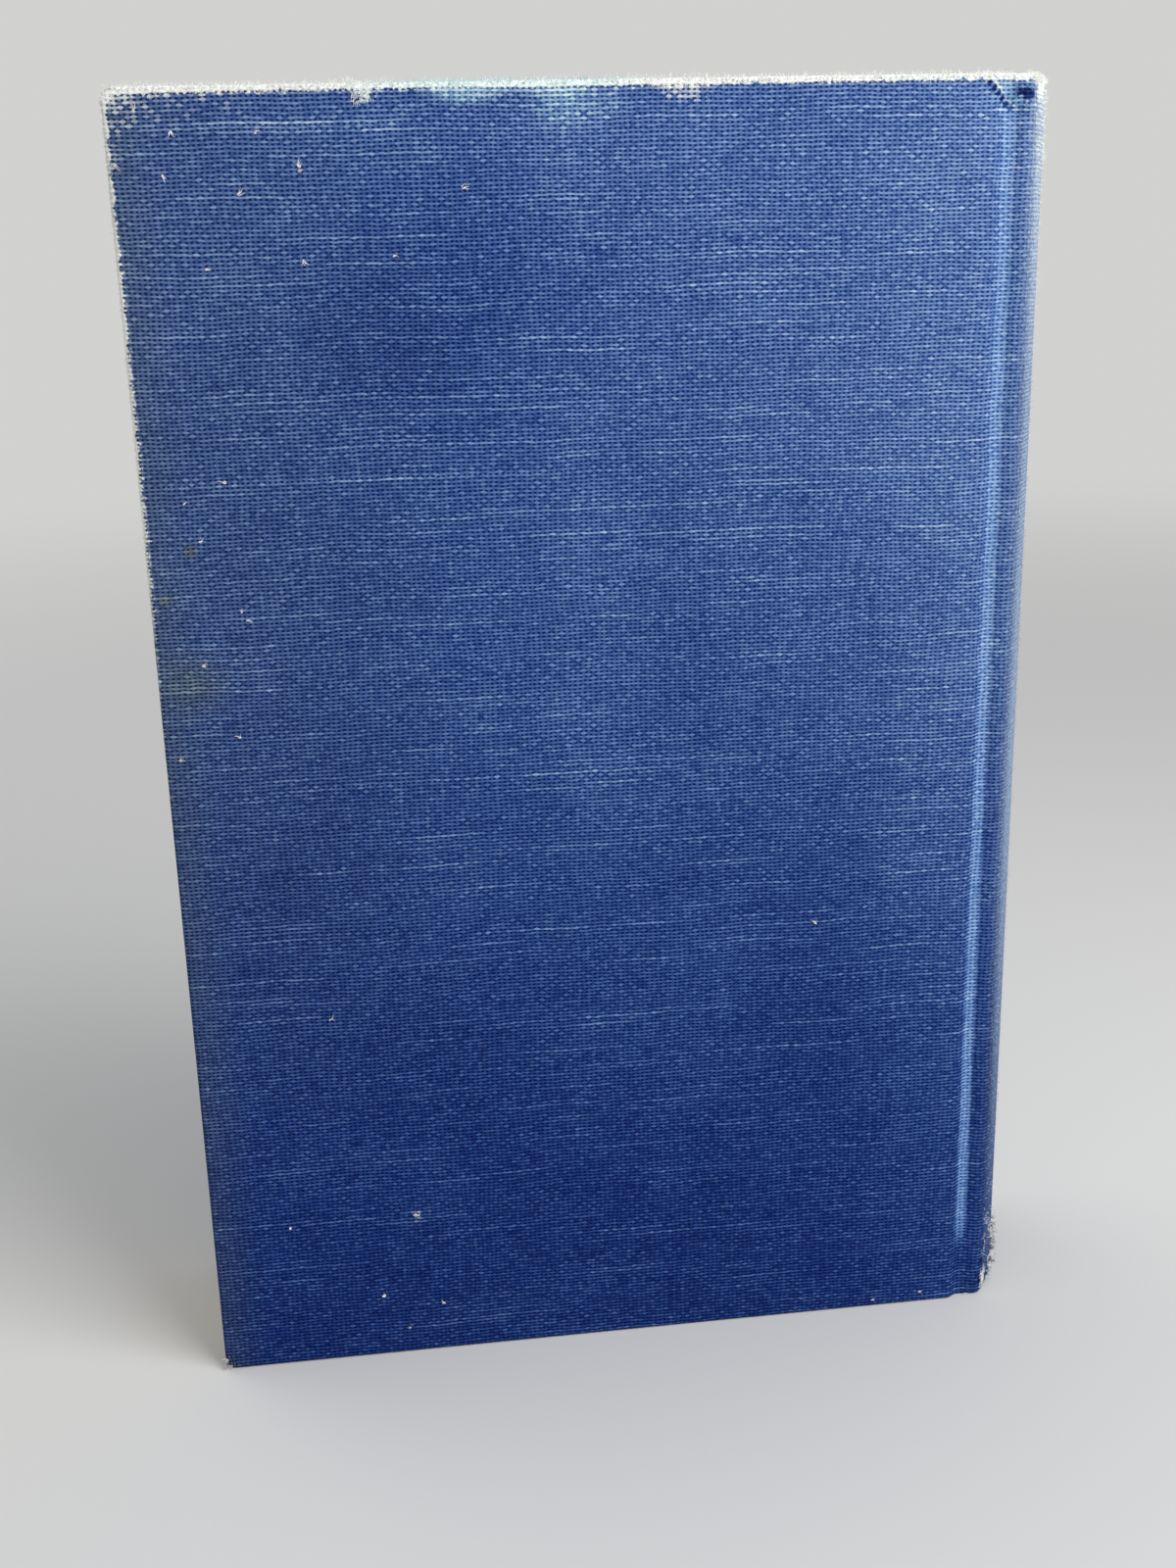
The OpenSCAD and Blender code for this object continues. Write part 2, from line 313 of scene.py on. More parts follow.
def mirrored(piece, name, axis, plane=0):
    """A copy of a piece, mirrored in a plane across an axis, with its faces outwards."""
    only(piece)
    bpy.ops.object.duplicate()
    copy = bpy.context.object
    copy.name = name
    setattr(copy.scale, axis, -1)
    setattr(copy.location, axis, 2 * plane)
    bpy.ops.object.transform_apply(location=True, rotation=True, scale=True)
    start_edit(copy)
    face_outwards()
    end_edit()
    return copy

# %% [markdown]
# ## Cloth over a cover
#
# A cover is a board wrapped in cloth. The cloth runs over the outer face, round the edges and
# 15 mm in on the inside, and at the spine it dips into the joint, a pressed groove where there is
# no board and where the cover bends when the book opens. It could be simulated, but cloth that is
# glued down has no play. So it is made the way a box is made from a blank: a slab loses its inner
# side and its spine side, its rim is folded inwards and its edges are rounded. Then the open rim
# at the spine is drawn on into the joint, and the sheet gets its thickness at the end.

# %% Places in the joint and on the spine
groove_y = face_y - 1
slope_x = 118.2
seam = Vector((121.3, groove_y + 0.12))
spine_bulge = 6
crest_y = face_y - 0.1
spine_r = (crest_y**2 + spine_bulge**2) / (2 * spine_bulge)
spine_x = apex_x - spine_r
crest_r = 2
crest_x, crest_mid_y = 122.91, 13.74
crest_angle = math.atan2(crest_mid_y, crest_x - spine_x)
foot_angle = math.radians(107.2)


def arc(x, y, radius, start, stop, steps):
    """Points along an arc about (x, y), as a compass would draw it."""
    turns = [start + (stop - start) * i / steps for i in range(steps + 1)]
    return [Vector((x + radius * math.cos(t), y + radius * math.sin(t))) for t in turns]


def draw_on(points):
    """Draws the open edge at points[0] on through the points, seen from above."""
    for here, there in zip(points, points[1:]):
        pick("EDGE", lambda e: e.is_boundary and all(at((v.co.xy - here).length, 0) for v in e.verts))
        push(x=there.x - here.x, y=there.y - here.y)


def lay_weave(piece, unfold):
    """Gives each corner of each face its place on the flat cloth, in millimetres."""
    layer = piece.data.uv_layers.new(name="weave")
    piece.data.uv_layers.active = layer
    for face in piece.data.polygons:
        for i in face.loop_indices:
            point = piece.data.vertices[piece.data.loops[i].vertex_index].co
            layer.data[i].uv = unfold(point, face.normal)


print("spine radius", round(spine_r, 2), "mm, crest at", round(math.degrees(crest_angle), 1), "degrees")

# %% Cloth of the back cover
cloth = box_piece("back_cover_cloth", (0, -face_y, 0), (slope_x, -turned_y, case_h))
start_edit(cloth)
pick("FACE", lambda f: f.normal.x > 0.9 or f.normal.y > 0.9)
bpy.ops.mesh.delete(type="FACE")

pick("EDGE", lambda e: abs(direction(e).y) > 0.9 and at(middle(e).x, 0))
bpy.ops.mesh.bevel(offset=corner_r, segments=6)

pick("EDGE", lambda e: e.is_boundary and at(middle(e).y, -turned_y))
push()
window = ((slope_x - turn_in) / slope_x, 1, (case_h - 2 * turn_in) / case_h)
bpy.ops.transform.resize(value=window, center_override=(slope_x, -turned_y, case_h / 2))

pick("EDGE", lambda e: not e.is_boundary and e.calc_face_angle(0) > 1.2)
bpy.ops.mesh.bevel(offset=fold_r, segments=3)

# %% [markdown]
# The groove: each step draws the open rim towards the spine, thins it, because the board ends
# here and the turned-in cloth comes to lie on the cloth itself, and presses it in. The steps are
# short where the surface turns.

# %% The joint of the back cover
joint_steps = [
    (0.45, 0.12, 3), (0.4, 0.3, 2.2), (0.45, 0.37, 1.4), (0.4, 0.21, 1),
    (0.7, 0, 0.9), (0.35, -0.02, 0.9), (0.35, -0.1, 0.9),
]
edge_x, outer_y, thick = slope_x, -face_y, cover_t
for step_x, step_y, next_thick in joint_steps:
    pick("EDGE", lambda e: e.is_boundary and all(at(v.co.x, edge_x) for v in e.verts))
    push(x=step_x)
    bpy.ops.transform.resize(value=(1, next_thick / thick, 1), center_override=(0, outer_y, 0))
    bpy.ops.transform.translate(value=(0, step_y, 0))
    edge_x, outer_y, thick = edge_x + step_x, outer_y + step_y, next_thick

rows, columns = 38, 24
near_edge = [0.9, 1.7, 2.6, 4]
cut_across("z", evenly(case_h, rows) + near_edge + [case_h - d for d in near_edge])
cut_across("x", evenly(slope_x, columns) + near_edge)
end_edit()


def unfold_cover(point, normal):
    """Where a point of the cover's cloth was before the cloth was folded round the board."""
    x, z, rise = point.x, point.z, point.y + face_y
    if abs(normal.z) > max(abs(normal.x), abs(normal.y)):
        return (x, case_h + rise) if normal.z > 0 else (x, -rise)
    if normal.x < -max(abs(normal.y), abs(normal.z)):
        return (-rise, z)
    if normal.y < 0:
        return (x, z)
    if min(z, case_h - z) < x:
        return (x, case_h + cover_t + case_h - z) if z > case_h / 2 else (x, -cover_t - z)
    return (-cover_t - x, z)


lay_weave(cloth, unfold_cover)
finish_modifier(cloth, "SOLIDIFY", thickness=cloth_t, offset=-1)
print("joint ends at", round(edge_x, 2), round(outer_y, 2))

# %% [markdown]
# ## Cloth over the spine
#
# The spine's cloth is one long strip seen from above: it rises out of the groove, turns over a
# sharp crest and swings round the back of the book in one wide arc. A strip that is drawn along
# that line gives just this. At head and tail the strip is folded over the card inside and down,
# in small steps inwards about the centre of the spine's arc.

# %% Cloth of the spine
front_half = (
    [seam]
    + arc(crest_x, crest_mid_y, crest_r, foot_angle, crest_angle, 6)
    + arc(spine_x, 0, spine_r, crest_angle, 0, 16)[1:]
)
back_half = [Vector((p.x, -p.y)) for p in front_half]
outline = back_half + front_half[-2::-1]
cap_r = 1.4

first, second = outline[0], outline[1]
bpy.ops.mesh.primitive_plane_add(size=1)
spine = bpy.context.object
spine.name = "spine_cover_cloth"
along, tall = (second - first).to_3d(), Vector((0, 0, case_h - 2 * cap_r))
spine.matrix_world = Matrix((along, tall, along.cross(tall).normalized())).transposed().to_4x4()
spine.location = ((first + second) / 2).to_3d() + Vector((0, 0, case_h / 2))
bpy.ops.object.transform_apply(location=True, rotation=True, scale=True)
start_edit(spine)
draw_on(outline[1:])
cut_across("z", evenly(case_h, rows))
print("columns across the spine:", len(outline) - 1)

# %% [markdown]
# Head and tail: the rim is carried on in rings. Over the card a ring is scaled towards the axis of
# the spine's arc. Over the shoulders the cloth has no card in it, so it turns in less, and it goes
# straight inwards there, so that its edge stays behind the seam.

# %% Head and tail of the spine
card_edge_x = 124.2
shoulder_share = 0.58


def over_card(v):
    """Is a point of the spine's rim over the card, so past the crest?"""
    return math.hypot(v.co.x - spine_x, v.co.y) > spine_r - 3 and v.co.x > card_edge_x


# Each ring: how far it lies inwards of the cloth's face, and above the start of the fold
cap_rings = [(cap_r * (1 - math.cos(a)), cap_r * math.sin(a)) for a in (0.4, 0.8, 1.2, 1.57)]
cap_rings += [(1.6, 1.32), (1.7, 1.1), (1.7, -3), (1.7, cap_r - turn_in)]
for end in (1, -1):
    level, inward = case_h / 2 + end * (case_h / 2 - cap_r), 0
    for ring_in, ring_up in cap_rings:
        pick("EDGE", lambda e: e.is_boundary and all(at(v.co.z, level) for v in e.verts))
        new_level = case_h / 2 + end * (case_h / 2 - cap_r + ring_up)
        push(z=new_level - level)
        level = new_level
        pick("VERT", lambda v: v.is_boundary and at(v.co.z, level) and over_card(v))
        shrink = 1 - (ring_in - inward) / (spine_r - inward)
        bpy.ops.transform.resize(value=(shrink, shrink, 1), center_override=(spine_x, 0, 0))
        pick("VERT", lambda v: v.is_boundary and at(v.co.z, level) and not over_card(v))
        shrink = 1 - shoulder_share * (ring_in - inward) / (crest_y - shoulder_share * inward)
        bpy.ops.transform.resize(value=(1, shrink, 1), center_override=(0, 0, 0))
        inward = ring_in
face_outwards()
end_edit()

turns = [math.atan2(p.y, p.x - spine_x) for p in outline]
radii = [math.hypot(p.x - spine_x, p.y) for p in outline]
lengths = [seam.x]
for here, there in zip(outline, outline[1:]):
    lengths.append(lengths[-1] + (there - here).length)
case_w = lengths[-1] + seam.x


def unfold_spine(point, normal):
    """Where a point of the spine's cloth was on the flat sheet that covers the whole case."""
    turn = math.atan2(point.y, point.x - spine_x)
    i = max(k for k in range(len(turns) - 1) if k == 0 or turns[k] <= turn + 0.0001)
    share = (turn - turns[i]) / (turns[i + 1] - turns[i])
    across = lengths[i] + share * (lengths[i + 1] - lengths[i])
    inward = radii[i] + share * (radii[i + 1] - radii[i]) - math.hypot(point.x - spine_x, point.y)
    height = abs(point.z - case_h / 2)
    if normal.x * math.cos(turn) + normal.y * math.sin(turn) < -0.5:
        up_the_cloth = case_h + inward - height
    else:
        up_the_cloth = height + max(0, inward)
    return across, case_h / 2 + math.copysign(up_the_cloth, point.z - case_h / 2)


lay_weave(spine, unfold_spine)
finish_modifier(spine, "SOLIDIFY", thickness=cloth_t, offset=-1)
print("the whole sheet is", round(case_w, 1), "mm wide between the fore edges")

# %% [markdown]
# ## Paper inside a cover
#
# The paper pasted inside a cover is one half of a folded sheet. The other half is the flyleaf, and
# the fold between them lies in the joint. It is thin and was put on damp, so it shows what is
# under it: it steps down from the turned-in cloth onto the board, and up a little where it runs
# over the mull. So a flat sheet is cut along these steps, its inner faces are pushed down, and
# its edge at the spine is drawn on round the bend towards the fold.

# %% Paper inside the back cover
square = leaves_low.z / MM
paper_t = 0.2
paper_y = turned_y - paper_t
flange_x, sunk_x = 93, 116.8
half_step = 0.5
board_drop, mull_rise = 0.45, 0.25

paper = box_piece("back_cover_paper", (square, -face_y, square), (slope_x, -paper_y, case_h - square))
start_edit(paper)
pick("FACE", lambda f: f.normal.y < 0.9)
bpy.ops.mesh.delete(type="FACE")
for axis, edges in (("x", (turn_in, flange_x, sunk_x)), ("z", (turn_in, case_h - turn_in))):
    cut_across(axis, [edge + side * half_step for edge in edges for side in (-1, 1)])


def in_well(face, start_x):
    """Is a face over the board, between the turned edges, and beyond start_x?"""
    spot = face.calc_center_median()
    from_middle = abs(spot.z - case_h / 2)
    return start_x < spot.x < sunk_x - half_step and from_middle < case_h / 2 - turn_in - half_step


pick("FACE", lambda f: in_well(f, turn_in + half_step))
bpy.ops.transform.translate(value=(0, -board_drop, 0))
pick("FACE", lambda f: in_well(f, flange_x + half_step))
bpy.ops.transform.translate(value=(0, mull_rise, 0))

bend_x, bend_y, bend_r = 118.36, -14.25, 1.6
bend_angle = math.radians(24.9)
bend = arc(bend_x, bend_y, bend_r, math.pi / 2, math.pi / 2 - bend_angle, 4)
run = hinge_x - bend[-1].x
fold = bend[-1] + Vector((run, -run * math.tan(bend_angle)))
to_fold = [bend[-1].lerp(fold, share) for share in (0.35, 0.7, 1)]
draw_on([Vector((slope_x, -paper_y))] + bend + to_fold)
end_edit()
finish_modifier(paper, "SOLIDIFY", thickness=paper_t, offset=-1)
print("paper ends at", round(fold.x, 2), round(fold.y, 2))

# %% [markdown]
# ## Block of leaves
#
# The leaves are sewn in sections and trimmed together, so their edges make smooth faces that are
# ruled with fine lines, with a deeper line between one section and the next. The fore edge is
# hollow and the back is round. A box is divided into two slices for each leaf. Its two ends are
# projected onto a drum each, one for the hollow and one for the round, and then every second cut
# is sunk a little, every section's edge a little more, and whole sections stand slightly higher
# or lower than their neighbours, as they do in a book that has been read.

# %% Block of leaves
sections, leaves_each = 14, 16
slices = 2 * sections * leaves_each
leaf_y, shoulder_y = 12.25, 13.85
fore_x = leaves_low.x / MM - case_left
fore_hollow = 3.2
fore_r = (leaf_y**2 + fore_hollow**2) / (2 * fore_hollow)
back_r = 22.02
turn_x = 118.8
leaf_line, section_line, uneven = 0.05, 0.22, 0.13

top_z = case_h - square
block = box_piece("leaf_block", (fore_x, -leaf_y, square), (turn_x + 2.2, leaf_y, top_z))
start_edit(block)
for cuts in (sections - 1, 2 * leaves_each - 1):
    pick("EDGE", lambda e: abs(direction(e).y) > 0.9)
    bpy.ops.mesh.subdivide(number_cuts=cuts)
cut_across("x", [fore_x + 6, turn_x / 3, turn_x * 2 / 3, turn_x])
end_edit()


def slice_of(v):
    """The number of the cut that a point lies on, from 0 at the back cover."""
    return round((v.co.y / leaf_y + 1) / 2 * slices)


def drum(x, radius):
    place = (x, 0, case_h / 2)
    bpy.ops.mesh.primitive_cylinder_add(vertices=256, radius=radius, depth=2 * case_h, location=place)
    return bpy.context.object


numbers = [slice_of(v) for v in block.data.vertices]
ends = {"fore": lambda v: at(v.co.x, fore_x), "back": lambda v: v.co.x > turn_x + 1}
for end, test in ends.items():
    chosen = [v.index for v in block.data.vertices if test(v)]
    block.vertex_groups.new(name=end).add(chosen, 1, "REPLACE")
start_edit(block)
pick("VERT", ends["back"])
bpy.ops.transform.resize(value=(1, shoulder_y / leaf_y, 1), center_override=(0, 0, 0))
end_edit()
for end, form in (("fore", drum(fore_x + fore_hollow - fore_r, fore_r)), ("back", drum(spine_x, back_r))):
    finish_modifier(
        block, "SHRINKWRAP", wrap_method="PROJECT", target=form, vertex_group=end, use_project_x=True,
    )
    bpy.data.objects.remove(form)
print("the block has", sections * leaves_each, "leaves in", sections, "sections")

# %% Leaves and sections
trimmed = (
    (lambda v: v.co.z > top_z - 1, Vector((0, 0, -1))),
    (lambda v: v.co.z < square + 1, Vector((0, 0, 1))),
    (lambda v: v.co.x < fore_x + 5, Vector((1, 0, 0))),
)
per_section = 2 * leaves_each
start_edit(block)
for on_face, inward in trimmed:
    pick("VERT", lambda v: on_face(v) and numbers[v.index] % 2)
    bpy.ops.transform.translate(value=inward * leaf_line)
    pick("VERT", lambda v: on_face(v) and numbers[v.index] in range(per_section, slices, per_section))
    bpy.ops.transform.translate(value=inward * section_line)
    for k in range(sections):
        pick("VERT", lambda v: on_face(v) and k * per_section < numbers[v.index] < (k + 1) * per_section)
        bpy.ops.transform.translate(value=inward * random.uniform(-0.3, 1) * uneven)
end_edit()

# %% [markdown]
# ## Headbands
#
# A headband is a short tape with a bead along its upper edge, glued behind the leaves so that the
# bead covers their edge at the head. The bead is a cord wound round with cotton. A circle spun
# about the axis of the rounded back gives the cord, and drawing in every second ring of it gives
# the turns of the cotton. The band at the tail is a mirrored copy.

# %% Headbands
bead_r = 0.88
band_angle = math.radians(37)
bead_z = top_z + 0.54
tape_h, tape_t = 9, 0.2
windings, drawn_in = 60, 0.09


def on_back_arc(radius, angle, z):
    return spine_x + radius * math.cos(angle), radius * math.sin(angle), z


def spin_round_back(steps):
    """Sweeps what is selected along the rounded back, from one end of the band to the other."""
    bpy.ops.mesh.spin(steps=steps, angle=-2 * band_angle, center=(spine_x, 0, 0), axis=(0, 0, 1))


bpy.ops.mesh.primitive_circle_add(
    vertices=12, radius=bead_r, fill_type="NGON", location=on_back_arc(back_r - bead_r, -band_angle, bead_z),
    rotation=(math.pi / 2, 0, -band_angle),
)
band = bpy.context.object
band.name = "head_band_bead"
bpy.ops.object.transform_apply(location=True, rotation=True, scale=True)
start_edit(band)
bpy.ops.mesh.select_all(action="SELECT")
spin_round_back(2 * windings)
face_outwards()


def winding_of(v):
    """The number of the ring that a point lies on, from the end of the band where the spin began."""
    return (math.atan2(v.co.y, v.co.x - spine_x) + band_angle) / band_angle * windings


pick("VERT", lambda v: at(winding_of(v) % 2, 1, 0.1))
bpy.ops.transform.shrink_fatten(value=-drawn_in)
end_edit()
spread = [math.degrees(math.atan2(v.co.y, v.co.x - spine_x)) for v in band.data.vertices]
print("the bead runs from", round(min(spread)), "to", round(max(spread)), "degrees")

# %% Tape of the headband
tape_edge = on_back_arc(back_r, -band_angle, (2 * bead_z - tape_h) / 2)
upright = (math.pi / 2, 0, math.pi / 2 - band_angle)
bpy.ops.mesh.primitive_plane_add(size=1, location=tape_edge, rotation=upright)
tape = bpy.context.object
tape.scale = (tape_t, tape_h, 1)
bpy.ops.object.transform_apply(location=True, rotation=True, scale=True)
start_edit(tape)
pick("EDGE", lambda e: abs(direction(e).z) > 0.9 and winding_of(e.verts[0]) > 0)
spin_round_back(30)
bpy.ops.mesh.select_all(action="SELECT")
bpy.ops.mesh.remove_doubles(threshold=0.001)
face_outwards()
end_edit()
finish_modifier(tape, "SOLIDIFY", thickness=tape_t, offset=0)

only(band)
tape.select_set(True)
bpy.ops.object.join()
tail_band = mirrored(band, "tail_band_bead", "z", case_h / 2)
print("each headband has", len(band.data.polygons), "faces")

# %% [markdown]
# ## Frayed cotton
#
# Where the dye is rubbed off, the cotton stands up in a fine nap, and in a few places it has
# frayed into tufts. Hair particles could make it, but the pieces are wanted as real meshes. So one
# fibre is modelled, a thin bent spike of three sides, and it is copied with a length, a lean and a
# twist of its own: upright along the worn edges, in a tangle where a knot has formed, and flat on
# the cover for the lint that lies there.

# %% One fibre
bpy.ops.mesh.primitive_cone_add(vertices=3, radius1=1, radius2=0.25, depth=1, location=(0, 0, 0.5))
fibre = bpy.context.object
bpy.ops.object.transform_apply(location=True, rotation=True, scale=True)
start_edit(fibre)
cut_across("z", (0.35, 0.7))
for level, step_x in ((0.3, 0.9), (0.6, 1.6), (0.9, 3.5)):
    pick("VERT", lambda v: v.co.z > level)
    bpy.ops.transform.translate(value=(step_x, 0, 0))
end_edit()


def grow(strands, root, toward, length, thick, lean=0.5):
    """Adds one fibre at root, which points about toward, to the list of strands."""
    heading = Vector(toward).normalized() + lean * Vector([random.uniform(-1, 1) for _ in "xyz"])
    turn = heading.to_track_quat("Z", "Y")
    spin = Matrix.Rotation(random.uniform(0, 2 * math.pi), 4, "Z")
    size = Matrix.Diagonal((thick, thick, length, 1))
    strand = fibre.copy()
    strand.data = fibre.data.copy()
    bpy.context.collection.objects.link(strand)
    strand.matrix_world = Matrix.Translation(root) @ turn.to_matrix().to_4x4() @ spin @ size
    strands.append(strand)


def gather(strands, name):
    """Makes one piece of all the strands."""
    only(strands[0])
    for strand in strands:
        strand.select_set(True)
    bpy.ops.object.join()
    piece = bpy.context.object
    piece.name = name
    bpy.ops.object.transform_apply(location=True, rotation=True, scale=True)
    return piece


# %% Nap of the back cover
head_fibres, fore_fibres, corner_fibres = 1500, 420, 90
strands = []
for _ in range(head_fibres):
    x = random.uniform(0.8, 120.6)
    longer = 1.35 if 31 < x < 82 else 1
    angle = random.uniform(0.1, 1.6)
    side = Vector((0, -math.cos(angle), math.sin(angle)))
    root = Vector((x, -face_y + fold_r, case_h - fold_r)) + fold_r * side
    grow(strands, root, side + Vector((0, 0, 0.5)), longer * random.uniform(0.25, 0.75), 0.045, 0.7)
for _ in range(fore_fibres):
    z = case_h - corner_r - 95 * random.random() ** 1.6
    angle = random.uniform(0.2, 1.6)
    side = Vector((-math.sin(angle), -math.cos(angle), 0))
    root = Vector((fold_r, -face_y + fold_r, z)) + fold_r * side
    grow(strands, root, side, random.uniform(0.15, 0.5), 0.03, 0.7)
for _ in range(corner_fibres):
    angle = random.uniform(0, math.pi / 2)
    side = Vector((-math.sin(angle), -0.5, math.cos(angle)))
    round_corner = (corner_r - 0.3) * Vector((side.x, 0, side.z))
    root = Vector((corner_r, -face_y + 0.1, case_h - corner_r)) + round_corner
    grow(strands, root, side, random.uniform(0.2, 0.6), 0.035, 0.7)

# The knot of loose cotton at the head, with a few fibres standing up beside it
for _ in range(46):
    root = Vector((random.uniform(31.8, 34.2), -face_y, random.uniform(187.6, 189.4)))
    heading = (random.uniform(-1, 1), -0.7, random.uniform(-1, 0.6))
    grow(strands, root, heading, random.uniform(0.4, 1.0), 0.06, 0.6)
for height_above in (1.9, 1.2, 1.0, 0.8, 0.7):
    root = Vector((31.4 + random.uniform(-0.4, 0.4), -face_y + 0.4, case_h - 0.15))
    grow(strands, root, (-0.15, 0, 1), height_above, 0.07, 0.12)

# The frayed tip of the corner at the tail
for _ in range(60):
    root = Vector((random.uniform(0.1, 1.5), -face_y + 0.1, random.uniform(0.5, 2.0)))
    grow(strands, root, (-0.6, -0.6, 0.1), random.uniform(0.4, 0.9), 0.08, 0.6)

# %% Lint on the back cover
# Where it lies, how long it is and which way it runs, in degrees
lint = (
    (24.5, 179.9, 0.9, 100), (24.4, 179.3, 0.6, 40), (20.3, 58.9, 0.8, 30), (94.8, 68.9, 0.9, 110),
    (7.5, 131.5, 0.8, 20), (12.3, 121.6, 0.7, 80), (13, 120.3, 0.6, 10), (11.6, 139.5, 0.9, 150),
    (5.8, 136.8, 0.7, 60), (6.4, 114.2, 0.6, 20), (10.7, 103.5, 0.8, 130), (2, 100.6, 0.9, 20),
    (25.4, 10.6, 0.9, 30), (35.1, 8.3, 0.7, 160), (29.1, 4.6, 0.7, 60), (11.8, 24.2, 0.6, 45),
    (113.2, 1.9, 0.6, 0), (105.2, 1.2, 0.6, 20), (1.0, 180.7, 1.4, -50), (4.1, 186.9, 1.0, 60),
    (8.4, 184.5, 0.8, -80), (7.0, 179.2, 1.2, -65), (16.4, 176.6, 0.9, 35), (19.2, 184.1, 0.6, 40),
    (45.6, 176.9, 0.8, 15), (24.2, 168.2, 0.9, -70), (11.5, 167.3, 0.8, 25), (36.1, 168.4, 0.7, 10),
)
for x, z, length, degrees in lint:
    run = Vector((math.cos(math.radians(degrees)), -0.04, math.sin(math.radians(degrees))))
    for _ in range(5):
        jitter = Vector((random.uniform(-0.15, 0.15), 0, random.uniform(-0.15, 0.15)))
        root = Vector((x, -face_y - 0.04, z)) + jitter
        grow(strands, root, run, length * random.uniform(0.6, 1.2), 0.09, 0.12)
cover_nap = gather(strands, "cover_nap")
print("fibres on the cover:", len(strands))

# %% Nap of the spine
cap_fibres, shoulder_fibres = 520, 1500
nap_reach = 183


def outward_at(past_crest):
    """The level direction outwards from the spine, at an angle past its crest on the back cover's side."""
    angle = -crest_angle + past_crest
    return Vector((math.cos(angle), math.sin(angle), 0))


strands = []
for _ in range(cap_fibres):
    outward = outward_at(random.uniform(-0.06, 0.28))
    lift = random.uniform(0.1, 1.5)
    root = Vector((spine_x, 0, case_h - cap_r)) + outward * (spine_r - cap_r + cap_r * math.cos(lift))
    root.z += cap_r * math.sin(lift)
    grow(strands, root, outward + Vector((0, 0, 0.8)), random.uniform(0.25, 0.7), 0.035, 0.7)
for _ in range(shoulder_fibres):
    z = case_h - 2 - nap_reach * random.random() ** 1.5
    outward = outward_at(random.uniform(-0.03, 0.42))
    root = Vector((spine_x, 0, z)) + outward * (spine_r - 0.02)
    grow(strands, root, outward, random.uniform(0.2, 0.6), 0.04, 0.7)

# %% Tufts of the spine
# The fuzz at the shoulder and the frayed cloth at the tail: height, angle past the crest, number
# of fibres, their length and thickness
tufts = (
    (179.8, 0.3, 26, 0.9, 0.06), (13.6, 0.02, 16, 0.5, 0.07), (10.4, 0.12, 34, 0.7, 0.08),
    (8.6, 0.2, 30, 0.7, 0.07), (6.6, 0.24, 34, 0.8, 0.09), (4.9, 0.26, 44, 0.8, 0.09),
    (3.6, 0.16, 40, 0.8, 0.09), (2.5, 0.3, 60, 1.2, 0.12), (2.0, 0.14, 40, 0.9, 0.1),
    (1.9, 0.26, 44, 0.9, 0.1), (9.6, 0.3, 40, 1.0, 0.09), (7.6, 0.34, 44, 1.1, 0.09),
    (5.8, 0.34, 50, 1.2, 0.1), (4.2, 0.34, 50, 1.2, 0.1), (2.9, 0.36, 50, 1.2, 0.1),
)
for z, past_crest, count, length, thick in tufts:
    for _ in range(count):
        outward = outward_at(past_crest + random.uniform(-0.04, 0.04))
        root = Vector((spine_x, 0, z + random.uniform(-0.8, 0.8))) + outward * (spine_r - 0.1)
        grow(strands, root, outward, length * random.uniform(0.5, 1.1), thick * random.uniform(0.4, 1), 0.7)
spine_nap = gather(strands, "spine_nap")
bpy.data.objects.remove(fibre)
print("fibres on the spine:", len(strands))

# %% [markdown]
# ## Writing materials
#
# A material is a net of small nodes. Drawn by hand it is easy to lose one's way in, so the class
# below writes the net as sums and products: `times`, `plus`, `step`, `band`, `spot`, `noise` and
# `mix` each add one or two nodes and give back the output. Book cloth, paper and board are all
# written with these few words.

